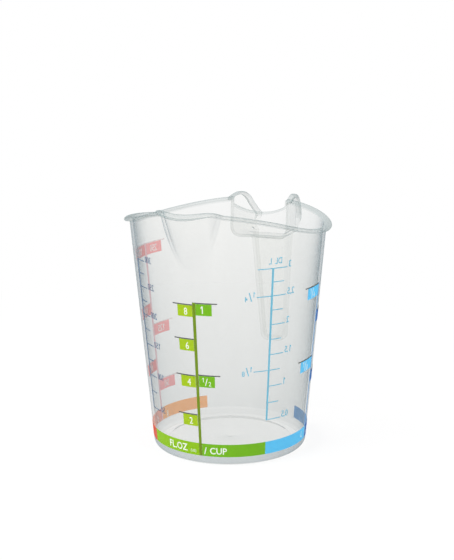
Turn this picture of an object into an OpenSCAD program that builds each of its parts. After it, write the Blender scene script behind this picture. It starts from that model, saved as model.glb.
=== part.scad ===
// Measuring cup: one clear moulding with a pouring spout, a wavy flanged rim and a
// hooked channel handle, carrying three pairs of printed scales and two rulers.
// Millimetres, +Z up. The origin is the centre of the foot on the cup's axis.
// The spout points to -Y and the handle to +Y. Angles run round from the spout,
// positive towards +X.

/* [Cup] */
// Outer radius of the wall, carried down to the plane that the cup rests on
base_r = 32.1; // [27:0.1:39]
// Growth of the wall's radius for each millimetre of height
taper = 0.089; // [0.07:0.001:0.11]
// Thickness of the wall
wall = 1.2; // [0.9:0.1:1.6]
// Height of the inside floor above the resting plane
floor_z = 3.5; // [3:0.1:5]
// Thickness of the floor
floor_t = 1.7; // [1:0.1:2.2]
// Rounding of the foot's outer edge
foot_round = 2.3; // [1:0.1:3.5]
// Width of the ring that the cup rests on
foot_w = 3; // [2:0.1:6]
// Rounding between the inside floor and the wall
inner_round = 2.5; // [1:0.1:5]
// Radius of the gate mark under the floor
gate_r = 1.3; // [0.8:0.1:3]
// Height of the gate mark
gate_h = 0.4; // [0.2:0.1:0.8]

/* [Rim] */
// Volume at the highest mark, in millilitres
capacity = 300; // [260:10:420]
// Height of the rim's lowest point above the highest mark
headroom = 11.7; // [8:0.1:20]
// Distance of the rim's lowest point behind the cup's axis
rim_low_y = 5; // [0:0.5:10]
// Radius of the rim's side curve towards the spout
rim_front_r = 90; // [70:1:120]
// Steepest slope of the rim towards the spout, in degrees
rim_slope = 18.5; // [14:0.5:22]
// Radius of the rim's side curve towards the handle
rim_back_r = 140; // [110:1:200]
// Rise of the spout's crest above the rim's lowest point
lip_rise = 11.8; // [8:0.1:14]
// Radius of the crest, which drops again towards the lip's tip
lip_round = 10; // [6:0.5:14]
// Width of the rim's flange outside the wall
flange_w = 2.2; // [1.2:0.1:3.5]
// Thickness of the flange
flange_t = 1.5; // [1:0.1:2.5]

/* [Spout] */
// Height from the foot of the spout up to its crest
spout_h = 25.8; // [18:0.1:32]
// Lean of the spout's keel outwards from the vertical, in degrees
spout_lean = 24; // [16:0.5:30]
// Outer radius of the rounded spout at its foot
spout_foot_r = 10.5; // [9:0.1:13]
// Outer radius of the rounded spout at its lip
spout_lip_r = 14.2; // [13:0.1:17]

/* [Handle] */
// How far the handle stands out behind the wall
hook_reach = 24.5; // [21:0.1:30]
// Height of the channel where it leaves the cup, from its underside to the rim
hook_depth = 18.1; // [15:0.1:22]
// Outer width of the channel where it leaves the cup
hook_root_w = 27; // [24:0.1:32]
// Outer width of the channel at its back
hook_back_w = 18.4; // [16:0.1:26]
// Thickness of the handle's walls
hook_wall = 1.3; // [1:0.1:1.8]
// Width of the flange outside the channel's walls
hook_flange_w = 1.4; // [0.8:0.1:2]
// Radius of the crest where the rim rises into the handle
crest_round = 20; // [12:1:26]
// Radius of the crest where it falls again towards the back
ear_round = 15.2; // [10:0.1:18]
// Slope at which the handle's rim falls towards the back, in degrees
ear_slope = 45; // [35:1:50]
// Rounding of the furthest point of the handle's rim
tip_round = 2; // [1:0.1:4]
// Share of the channel's narrowing that is even along its length
narrow_share = 0.7; // [0.5:0.05:1]
// How late the rest of the narrowing comes
narrow_late = 8; // [2:1:10]
// Gap for a finger between the cup and the top of the grip
finger_gap = 12; // [10:0.1:15]
// Gap for a finger between the cup and the end of the grip
finger_gap_low = 20.1; // [16:0.1:22]
// Depth of the grip, from the cup's side to its back
grip_depth = 6.4; // [4:0.1:8]
// Inside radius of the bend from the channel to the grip
bend_round = 6; // [3:0.5:8]
// Length of the grip below the channel
grip_len = 51.5; // [38:0.1:60]
// Outer width of the grip where it leaves the channel
grip_w = 17.8; // [14:0.1:20]
// Outer width of the grip near its end
grip_end_w = 11.6; // [9:0.1:16]
// Rounding of the grip's end
grip_corner = 3; // [1.5:0.1:4.5]
// Depth of the dip in the cup's wall below the rim, inside the channel
dip_drop = 6.5; // [3:0.1:8]
// Radius of the dip
dip_r = 23.6; // [18:0.1:40]

/* [Printed scales] */
// Thickness of a printed layer
ink = 0.1; // [0.05:0.01:0.2]
// Height of the bottom of the colour band
band_z = 3.9; // [3.6:0.1:8]
// Height of the colour band
band_h = 5.4; // [3:0.1:9]
// Angle that each scale takes of the cup's wall, in degrees
scale_angle = 94; // [80:1:98]
// Gap between two printed colours
ink_gap = 0.05; // [0.02:0.01:0.2]
// Width of a scale's stem
stem_w = 1.3; // [0.8:0.1:2]
// Height of a flag
flag_h = 4.7; // [3:0.1:6]
// Width of a short flag
flag_w = 6.6; // [5:0.1:8]
// Width of a flag with a three-figure number
wide_flag_w = 10.6; // [8:0.1:12]
// Thickness of a level line
line_t = 0.45; // [0.3:0.05:0.8]
// How far a level line runs past its flag
line_over = 2.2; // [1:0.1:4]
// Volume of one fluid ounce, in millilitres
ounce = 29.57; // [28:0.01:30]
// Volume of one cup measure, in millilitres
cup_measure = 240; // [230:1:250]
// Weight of sugar in each millilitre, in grams
sugar_density = 0.83; // [0.8:0.01:0.9]
// Weight of flour in each millilitre, in grams
flour_density = 0.53; // [0.5:0.01:0.6]

/* [Rulers] */
// Width of a ruler's stem
ruler_w = 0.85; // [0.5:0.05:1.5]
// Length of a ruler's short tick
short_tick = 4.7; // [3:0.1:5.4]
// Length of a ruler's long tick
long_tick = 6; // [5.5:0.1:8]
// Thickness of a tick
tick_t = 0.35; // [0.25:0.05:0.6]
// Volume from one tick to the next, in millilitres
tick_step = 25; // [25:25:50]

/* [Hidden] */
$fn = 96;
// A gap or overlap too small to see
hair = 0.01;
// How far a cutting shape runs past what it cuts
past = 10;

function outer_r(z) = base_r + taper * z;
function inner_r(z) = outer_r(z) - wall;
// Height of the liquid's surface when the cup holds this many millilitres
function level_z(ml) = floor_z
    + (pow(pow(inner_r(floor_z), 3) + 3000 * taper * ml / PI, 1 / 3) - inner_r(floor_z)) / taper;
// Points along an arc from angle a to angle b, in n steps
function arc(y, z, r, a, b, n) = [for (i = [0:n])
    [y + r * cos(a + (b - a) * i / n), z + r * sin(a + (b - a) * i / n)]];

function reversed(points) = [for (i = [len(points) - 1:-1:0]) points[i]];

// Rim, seen from the side: y along the row, z up
rim_low = level_z(capacity) + headroom;
lip_z = rim_low + lip_rise;
tall = lip_z + past;
rim_turn_y = rim_low_y - rim_front_r * sin(rim_slope);
rim_turn_z = rim_low + rim_front_r * (1 - cos(rim_slope));
lip_y = rim_turn_y - (lip_z - rim_turn_z) / tan(rim_slope);
lip_tangent = lip_round * tan(rim_slope / 2);
lip_drop_a = 40;
far_y = outer_r(tall) + hook_reach + past;
function back_z(y) = rim_low + rim_back_r - sqrt(pow(rim_back_r, 2) - pow(y - rim_low_y, 2));
// The rim's curve towards the handle, between two slopes, in steps that never change
function back_line(from_slope, to_slope, inset = 0) = arc(rim_low_y, rim_low + rim_back_r,
    rim_back_r + inset, from_slope - 90, to_slope - 90, round(16 * (to_slope - from_slope) / crest_slope));
crest_from_y = outer_r(rim_low) + 1;
crest_slope = asin((crest_from_y - rim_low_y) / rim_back_r);
rim_line = concat(
    [[-far_y, lip_z - (far_y + lip_y) * tan(lip_drop_a)]],
    arc(lip_y - lip_tangent, lip_z - lip_round, lip_round, 90 + lip_drop_a, 90 - rim_slope, 8),
    arc(rim_low_y, rim_low + rim_front_r, rim_front_r, -90 - rim_slope, -90, 9),
    back_line(0, crest_slope), [[far_y, back_z(far_y)]]);

// Handle, seen from the side
back_r = outer_r(rim_low);
root_z = back_z(back_r) - hook_depth;
rear_y = back_r + hook_reach;
crest_y = crest_from_y + crest_round * sin(crest_slope);
crest_z = back_z(crest_from_y) + crest_round * (1 - cos(crest_slope));
tip_y = rear_y - tip_round;
ear_fall = ear_round * (1 - cos(ear_slope)) + tip_round * cos(ear_slope)
    + (tip_y + (tip_round - ear_round) * sin(ear_slope) - crest_y) * tan(ear_slope);
tip_z = crest_z - ear_fall;
tip_end_a = 30;
grip_end_z = root_z - grip_len;
finger_y = outer_r(root_z) + finger_gap;
finger_low_y = outer_r(grip_end_z) + finger_gap_low;
grip_back_y = finger_y + grip_depth;
bend_z = root_z - bend_round;
root_half = hook_root_w / 2;
back_half = hook_back_w / 2;
grip_half = grip_w / 2;
grip_end_half = grip_end_w / 2;
channel_half = root_half - hook_wall;
dip_z = back_z(back_r) - dip_drop;

print_top = level_z(capacity);
flour_grams = [50, 100];
sugar_grams = [50, 125];
ruler_angle = scale_angle / 2;
green = 0;
blue = scale_angle;
red = -scale_angle;

// ---- Moulding -------------------------------------------------------------

// An outline drawn in y and z, given a width along x
module across(points, half) {
    rotate([90, 0, 90]) translate([0, 0, -half]) linear_extrude(2 * half) polygon(points);
}

// An outline drawn in x and z, given a depth along y
module along(points, from_y, to_y) {
    translate([0, to_y, 0]) rotate([90, 0, 0]) linear_extrude(to_y - from_y) polygon(points);
}

// Everything under the rim's line, lowered by drop
module below_rim(drop) {
    under = [for (p = rim_line) [p[0], p[1] - drop]];
    across(concat([[far_y, -past], [-far_y, -past]], under), far_y);
}

// A solid cone of the wall's outer surface, grown by extra
module wall_cone(extra) {
    translate([0, 0, -hair])
        cylinder(r1 = outer_r(-hair) + extra, r2 = outer_r(tall) + extra, h = tall + hair);
}

// The leaning round bar that shapes the spout, grown by extra
module spout_bar(extra) {
    foot_z = lip_z - spout_h;
    keel = spout_h / cos(spout_lean);
    widening = (spout_lip_r - spout_foot_r) / keel;
    translate([0, -outer_r(foot_z), foot_z]) rotate([spout_lean - atan(widening), 0, 0])
        translate([0, spout_foot_r, -keel]) cylinder(h = 3 * keel,
            r1 = 2 * spout_foot_r - spout_lip_r + extra, r2 = 2 * spout_lip_r - spout_foot_r + extra);
}

// Half outline of the cup's outside, turned about the axis
module cup_outside() {
    foot_r = outer_r(foot_round) - foot_round;
    under_z = floor_z - floor_t;
    rotate_extrude() polygon(concat(
        [[0, under_z], [foot_r - foot_w - under_z, under_z], [foot_r - foot_w, 0]],
        arc(foot_r, foot_round, foot_round, -90, 0, 6),
        [[outer_r(tall), tall], [0, tall]]));
    translate([0, 0, under_z - gate_h]) cylinder(r = gate_r, h = gate_h + hair);
}

// The space inside the cup, open at the top
module cup_inside() {
    corner_z = floor_z + inner_round;
    rotate_extrude() polygon(concat(
        [[0, floor_z]],
        arc(inner_r(corner_z) - inner_round, corner_z, inner_round, -90, 0, 6),
        [[inner_r(tall + past), tall + past], [0, tall + past]]));
}

// The rim's flange, all the way round
module flange_ring() {
    difference() {
        intersection() {
            union() {
                wall_cone(flange_w);
                spout_bar(flange_w);
            }
            below_rim(0);
        }
        below_rim(flange_t);
        wall_cone(-wall / 2);
        spout_bar(-wall / 2);
    }
}

// The gap between the channel's walls, through which it opens into the cup
module channel_mouth() {
    translate([-channel_half, 0, dip_z]) cube([2 * channel_half, far_y, tall]);
}

module cup_body() {
    color([0.86, 0.88, 0.87]) difference() {
        union() {
            intersection() {
                union() {
                    cup_outside();
                    spout_bar(0);
                }
                below_rim(0);
            }
            difference() {
                flange_ring();
                channel_mouth();
            }
        }
        cup_inside();
        spout_bar(-wall);
        intersection() {
            translate([0, 0, dip_z + dip_r]) rotate([-90, 0, 0]) cylinder(r = dip_r, h = far_y);
            channel_mouth();
        }
    }
}

// Upper and back edge of the handle's sides, moved in by inset
function hook_edge(inset) = concat(
    back_line(crest_slope * 3 / 4, crest_slope, inset),
    arc(crest_y, crest_z - crest_round, crest_round - inset, 90 + crest_slope, 90, 4),
    arc(crest_y, crest_z - ear_round, ear_round - inset, 90 - ear_slope / 6, 90 - ear_slope, 5),
    arc(tip_y, tip_z, max(tip_round - inset, hair), 90 - ear_slope, -tip_end_a, 4));

// Side outline of the handle, filled in
hook_side = concat(
    hook_edge(0),
    [[grip_back_y, root_z], [finger_low_y + grip_depth, grip_end_z], [finger_low_y, grip_end_z]],
    arc(finger_y - bend_round, bend_z, bend_round, 0, 90, 6),
    [[back_r - past / 2, root_z]]);

// Side outline of the space in the channel and the grip
hook_hollow = concat(
    [[back_r - past, tall], [back_r - past, root_z + hook_wall]],
    arc(finger_y - bend_round, bend_z, bend_round + hook_wall, 90, 0, 6),
    [[finger_low_y + hook_wall, grip_end_z - past], [rear_y + past, grip_end_z - past],
     [rear_y + past, tall]]);

// Outline from above: the half width narrows from the cup to the back
function hook_half(share) = root_half - (root_half - back_half)
    * (narrow_share * share + (1 - narrow_share) * pow(share, narrow_late));
plan_shares = [0, 0.15, 0.3, 0.45, 0.58, 0.7, 0.8, 0.88, 0.94, 1];
module plan(extra) {
    side = [for (s = plan_shares) [hook_half(s) + extra, back_r + (hook_reach + hair) * s]];
    far_side = [for (p = reversed(side)) [-p[0], p[1]]];
    linear_extrude(tall + past) polygon(concat(
        [[root_half + extra, back_r - past]], side, far_side,
        [[-root_half - extra, back_r - past]]));
}

// Outline from the front: the channel's round corners and the grip below it
module front(extra) {
    round_r = root_half - grip_half;
    half = concat(
        [[root_half + extra, tall + past]],
        arc(grip_half, root_z + round_r, round_r + extra, 0, -90, 5),
        [[grip_half + extra, root_z - max(extra, 0)]],
        arc(grip_end_half - grip_corner, grip_end_z + grip_corner, grip_corner + extra, 0, -90, 5));
    other = [for (p = reversed(half)) [-p[0], p[1]]];
    along(concat(half, other), 0, far_y);
}

module handle() {
    color([0.84, 0.87, 0.87]) difference() {
        union() {
            intersection() {
                across(hook_side, root_half + past);
                plan(0);
                front(0);
            }
            intersection() {
                across(concat(hook_edge(0), reversed(hook_edge(flange_t))), root_half + past);
                plan(hook_flange_w);
            }
        }
        intersection() {
            across(hook_hollow, root_half + past);
            plan(-hook_wall);
            front(-hook_wall);
        }
        wall_cone(0);
        flange_ring();
    }
}

// ---- Printing -------------------------------------------------------------

// A printed patch on the wall between two heights and two angles
module patch(low, high, from_angle, to_angle) {
    rotate([0, 0, from_angle - 90]) rotate_extrude(angle = to_angle - from_angle) polygon([
        [outer_r(low), low], [outer_r(low) + ink, low],
        [outer_r(high) + ink, high], [outer_r(high), high]]);
}

// Angle that a length takes round the wall at this height
function turn(length, z) = length / outer_r(z) * 180 / PI;
half_gap = turn(ink_gap / 2, band_z);

module band(from_angle, to_angle) {
    patch(band_z, band_z + band_h, from_angle + half_gap, to_angle - half_gap);
}

// A stem from above the band up to its highest level line
module stem(angle, top) {
    half = turn(stem_w / 2, top);
    patch(band_z + band_h + ink_gap, top, angle - half, angle + half);
}

// Flags that hang below their levels, on one side of a stem: side is -1 or 1
module flags(angle, levels, width, side) {
    for (z = levels) {
        near = turn(stem_w / 2 + ink_gap, z);
        far = near + turn(width, z);
        top = z - line_t - ink_gap;
        patch(top - flag_h, top, angle + (side > 0 ? near : -far), angle + (side > 0 ? far : -near));
    }
}

// Level lines above the flags on one side of a stem
module level_lines(angle, levels, width, side) {
    for (z = levels) {
        near = turn(stem_w / 2 + ink_gap, z);
        far = near + turn(width + line_over, z);
        patch(z - line_t, z, angle + (side > 0 ? near : -far), angle + (side > 0 ? far : -near));
    }
}

// One tick of a ruler: reach is its length, negative towards smaller angles
module tick(angle, z, reach) {
    a = turn(ruler_w / 2 + ink_gap, z);
    b = a + turn(abs(reach), z);
    patch(z - tick_t, z, angle + (reach > 0 ? a : -b), angle + (reach > 0 ? b : -a));
}

// A ruler's stem and its ticks, long at every second step
module ruler(angle) {
    half = turn(ruler_w / 2, print_top);
    patch(level_z(2 * tick_step) - tick_t, print_top, angle - half, angle + half);
    for (ml = [2 * tick_step:tick_step:capacity])
        tick(angle, level_z(ml), ml % (2 * tick_step) == 0 ? long_tick : short_tick);
}

ounce_levels = [for (n = [2:2:8]) level_z(n * ounce)];
cup_levels = [for (n = [0.5, 1]) level_z(n * cup_measure)];
litre_levels = [for (n = [1 / 8, 1 / 4]) level_z(1000 * n)];
decilitre_levels = [for (n = [1:2]) level_z(100 * n)];
flour_levels = concat([for (g = flour_grams) level_z(g / flour_density)], [print_top]);
sugar_levels = concat([for (g = sugar_grams) level_z(g / sugar_density)], [print_top]);
front_top = max(max(ounce_levels), max(cup_levels));

module ounce_band() { color([0.62, 0.79, 0.09]) band(green - ruler_angle, green); }
module cup_band() { color([0.33, 0.70, 0.08]) band(green, green + ruler_angle); }
module litre_band() { color([0.33, 0.71, 0.93]) band(blue - ruler_angle, blue); }
module decilitre_band() { color([0.13, 0.36, 0.72]) band(blue, blue + ruler_angle); }
module flour_band() { color([0.93, 0.24, 0.13]) band(red, red + ruler_angle); }
module sugar_band() { color([0.96, 0.50, 0.20]) band(red - ruler_angle, red); }

module ounce_cup_stem() { color([0.43, 0.57, 0.09]) stem(green, front_top); }
module ounce_flags() { color([0.62, 0.79, 0.09]) flags(green, ounce_levels, flag_w, -1); }
module cup_flags() { color([0.33, 0.70, 0.08]) flags(green, cup_levels, flag_w, 1); }
module ounce_cup_lines() {
    color([0.25, 0.27, 0.20]) {
        level_lines(green, ounce_levels, flag_w, -1);
        level_lines(green, cup_levels, flag_w, 1);
    }
}

module litre_stem() { color([0.20, 0.50, 0.82]) stem(blue, max(litre_levels)); }
module litre_flags() { color([0.33, 0.71, 0.93]) flags(blue, litre_levels, wide_flag_w, -1); }
module decilitre_flags() { color([0.13, 0.36, 0.72]) flags(blue, decilitre_levels, flag_w, 1); }
module litre_lines() {
    color([0.13, 0.16, 0.25]) {
        level_lines(blue, litre_levels, wide_flag_w, -1);
        level_lines(blue, decilitre_levels, flag_w, 1);
    }
}

module gram_stem() { color([0.85, 0.36, 0.36]) stem(red, print_top); }
module flour_flags() { color([0.93, 0.24, 0.20]) flags(red, flour_levels, wide_flag_w, 1); }
module sugar_flags() { color([0.96, 0.42, 0.32]) flags(red, sugar_levels, wide_flag_w, -1); }
module gram_lines() {
    color([0.45, 0.16, 0.14]) {
        level_lines(red, flour_levels, wide_flag_w, 1);
        level_lines(red, sugar_levels, wide_flag_w, -1);
    }
}

module decilitre_ruler() {
    color([0.30, 0.70, 0.90]) {
        ruler(ruler_angle);
        for (z = concat(litre_levels, [print_top])) tick(ruler_angle, z, -long_tick);
    }
}
module millilitre_ruler() { color([0.36, 0.52, 0.68]) ruler(-ruler_angle); }

cup_body();
handle();
ounce_band();
cup_band();
litre_band();
decilitre_band();
flour_band();
sugar_band();
ounce_cup_stem();
ounce_flags();
cup_flags();
ounce_cup_lines();
litre_stem();
litre_flags();
decilitre_flags();
litre_lines();
gram_stem();
flour_flags();
sugar_flags();
gram_lines();
decilitre_ruler();
millilitre_ruler();
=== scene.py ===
"""Looks of the measuring cup: a clear moulding with printed scales, built round its CAD frame."""

import logging
import math
from collections.abc import Iterable, Sequence
from dataclasses import dataclass, field
from enum import Enum

import bmesh
import bpy
from mathutils import Matrix, Vector


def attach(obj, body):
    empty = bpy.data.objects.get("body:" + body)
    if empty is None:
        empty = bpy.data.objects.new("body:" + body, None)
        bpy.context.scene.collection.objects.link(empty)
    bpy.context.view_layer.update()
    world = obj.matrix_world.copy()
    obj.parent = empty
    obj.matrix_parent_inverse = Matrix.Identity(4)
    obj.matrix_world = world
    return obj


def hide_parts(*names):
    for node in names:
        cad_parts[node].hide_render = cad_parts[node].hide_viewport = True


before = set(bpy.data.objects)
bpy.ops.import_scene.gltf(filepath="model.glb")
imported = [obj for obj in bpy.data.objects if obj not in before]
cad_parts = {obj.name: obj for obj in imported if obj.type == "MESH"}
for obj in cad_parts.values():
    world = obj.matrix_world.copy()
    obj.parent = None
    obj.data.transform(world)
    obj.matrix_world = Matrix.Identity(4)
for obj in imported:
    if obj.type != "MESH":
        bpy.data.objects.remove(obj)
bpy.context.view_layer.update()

MM = 0.001
CUBIC_MM_PER_ML = 1000
# Distance in millimetres within which two points of a flat drawing are one.
WELD = 0.0005
# Distance in millimetres within which a point counts as on a cut.
CUT_SLACK = 1e-5
log = logging.getLogger("measuring_cup")


# ---- Shader maths ----------------------------------------------------------


class Sock:
    """A value in a node tree, with Python's operators for its maths."""

    def __init__(self, nodes: "Nodes", socket: bpy.types.NodeSocket) -> None:
        """Wraps one output socket of a node."""
        self.nodes = nodes
        self.socket = socket

    def math(self, operation: str, *values: "Sock | float") -> "Sock":
        """Adds one Math node on these values."""
        return self.nodes.node(
            "ShaderNodeMath", {"operation": operation}, dict(enumerate(values))
        )

    def __add__(self, other: "Sock | float") -> "Sock":
        """self + other."""
        return self.math("ADD", self, other)

    def __radd__(self, other: "Sock | float") -> "Sock":
        """other + self."""
        return self.math("ADD", other, self)

    def __sub__(self, other: "Sock | float") -> "Sock":
        """self - other."""
        return self.math("SUBTRACT", self, other)

    def __rsub__(self, other: "Sock | float") -> "Sock":
        """other - self."""
        return self.math("SUBTRACT", other, self)

    def __mul__(self, other: "Sock | float") -> "Sock":
        """self * other."""
        return self.math("MULTIPLY", self, other)

    def __rmul__(self, other: "Sock | float") -> "Sock":
        """other * self."""
        return self.math("MULTIPLY", other, self)

    def __truediv__(self, other: "Sock | float") -> "Sock":
        """self / other."""
        return self.math("DIVIDE", self, other)

    def __pow__(self, other: "Sock | float") -> "Sock":
        """self to the power of other."""
        return self.math("POWER", self, other)

    def __rpow__(self, other: "Sock | float") -> "Sock":
        """other to the power of self."""
        return self.math("POWER", other, self)

    def __neg__(self) -> "Sock":
        """-self."""
        return self * -1.0


class Nodes:
    """The node tree of one material or world, emptied and ready to fill.

    Attributes:
        octave: Strength of each finer octave of noise against the one before.
        turned: Dot product, in metres, past which a face looks at the cup's axis or away.
        level: Squares of the normal's upward part between which a face counts as level.
    """

    octave: float = 0.55
    turned: float = 5 * MM
    level: tuple[float, float] = (0.3, 0.7)

    def __init__(self, tree: bpy.types.NodeTree) -> None:
        """Empties the tree."""
        self.tree = tree
        tree.nodes.clear()

    def node(
        self,
        kind: str,
        settings: dict[str, object] | None = None,
        values: dict[str | int, object] | None = None,
        out: str | int = 0,
    ) -> Sock | None:
        """Adds a node of any type.

        Args:
            kind: The node's type.
            settings: Its properties, set first.
            values: The values or links of its input sockets, by name or number.
            out: Which output to hand back.

        Returns:
            The wanted output, wrapped, or None for a node without outputs.
        """
        made = self.tree.nodes.new(kind)
        for name, value in (settings or {}).items():
            setattr(made, name, value)
        for name, value in (values or {}).items():
            if isinstance(value, Sock):
                self.tree.links.new(value.socket, made.inputs[name])
            else:
                made.inputs[name].default_value = value
        return Sock(self, made.outputs[out]) if len(made.outputs) else None

    def noise(self, scale: float, detail: float = 2.0, stretch: float = 1.0) -> Sock:
        """Noise on the piece's own coordinates.

        Args:
            scale: Features in each metre.
            detail: Octaves of finer noise.
            stretch: How many times longer the features are along Z.

        Returns:
            The noise, from 0 to 1.
        """
        place = self.node("ShaderNodeTexCoord", out="Object")
        place = self.node(
            "ShaderNodeMapping", {}, {"Vector": place, "Scale": (1, 1, 1 / stretch)}
        )
        return self.node(
            "ShaderNodeTexNoise",
            {"noise_dimensions": "3D"},
            {"Vector": place, "Scale": scale, "Detail": detail, "Roughness": self.octave},
        )

    def height(self) -> Sock:
        """Height over the table, in metres."""
        place = self.node("ShaderNodeTexCoord", out="Object")
        return self.node("ShaderNodeSeparateXYZ", {}, {0: place}, out="Z")

    def outward(self) -> Sock:
        """The way out from the cup's axis, as long as the distance from it."""
        place = self.node("ShaderNodeTexCoord", out="Object")
        return self.node(
            "ShaderNodeVectorMath", {"operation": "MULTIPLY"}, {0: place, 1: (1, 1, 0)}
        )

    def radius(self) -> Sock:
        """Distance from the cup's axis, in metres."""
        return self.node(
            "ShaderNodeVectorMath", {"operation": "LENGTH"}, {0: self.outward()}, out="Value"
        )

    def underside(self) -> Sock:
        """1 on faces that look towards the cup's axis and 0 on the others."""
        normal = self.node("ShaderNodeTexCoord", out="Normal")
        dot = self.node(
            "ShaderNodeVectorMath",
            {"operation": "DOT_PRODUCT"},
            {0: self.outward(), 1: normal},
            out="Value",
        )
        return self.ramp(dot, self.turned, -self.turned)

    def normal(self, axis: str) -> Sock:
        """One part of the surface's own normal."""
        normal = self.node("ShaderNodeTexCoord", out="Normal")
        return self.node("ShaderNodeSeparateXYZ", {}, {0: normal}, out=axis)

    def flat(self) -> Sock:
        """1 on level faces and 0 on steep ones."""
        up = self.normal("Z")
        return self.ramp(up * up, *self.level)

    def ramp(self, value: Sock, start: float, end: float) -> Sock:
        """0 at start, 1 at end and straight between them."""
        return self.node(
            "ShaderNodeMapRange", {"clamp": True}, {0: value, 1: start, 2: end, 3: 0.0, 4: 1.0}
        )

    def blend(self, share: "Sock | float", first: object, second: object) -> Sock:
        """A Mix node between two colours."""
        return self.node(
            "ShaderNodeMix",
            {"data_type": "RGBA"},
            {0: share, 6: first, 7: second},
            out=2,
        )

    def bump(self, height: Sock, strength: float, depth: float) -> Sock:
        """A Bump node that reads a height."""
        return self.node(
            "ShaderNodeBump",
            {},
            {"Height": height, "Strength": strength, "Distance": depth},
        )


def new_material(name: str) -> tuple[bpy.types.Material, Nodes]:
    """Makes an empty node material.

    Args:
        name: The material's name.

    Returns:
        The material and its node tree.
    """
    material = bpy.data.materials.new(name)
    material.use_nodes = True
    return material, Nodes(material.node_tree)


def shade(level: Sequence[float]) -> tuple[float, float, float, float]:
    """A linear colour from three display values between 0 and 255."""
    plain = [
        v / 255 / 12.92 if v < 10 else ((v / 255 + 0.055) / 1.055) ** 2.4 for v in level
    ]
    return (*plain, 1.0)


# ---- Finishes --------------------------------------------------------------


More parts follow.
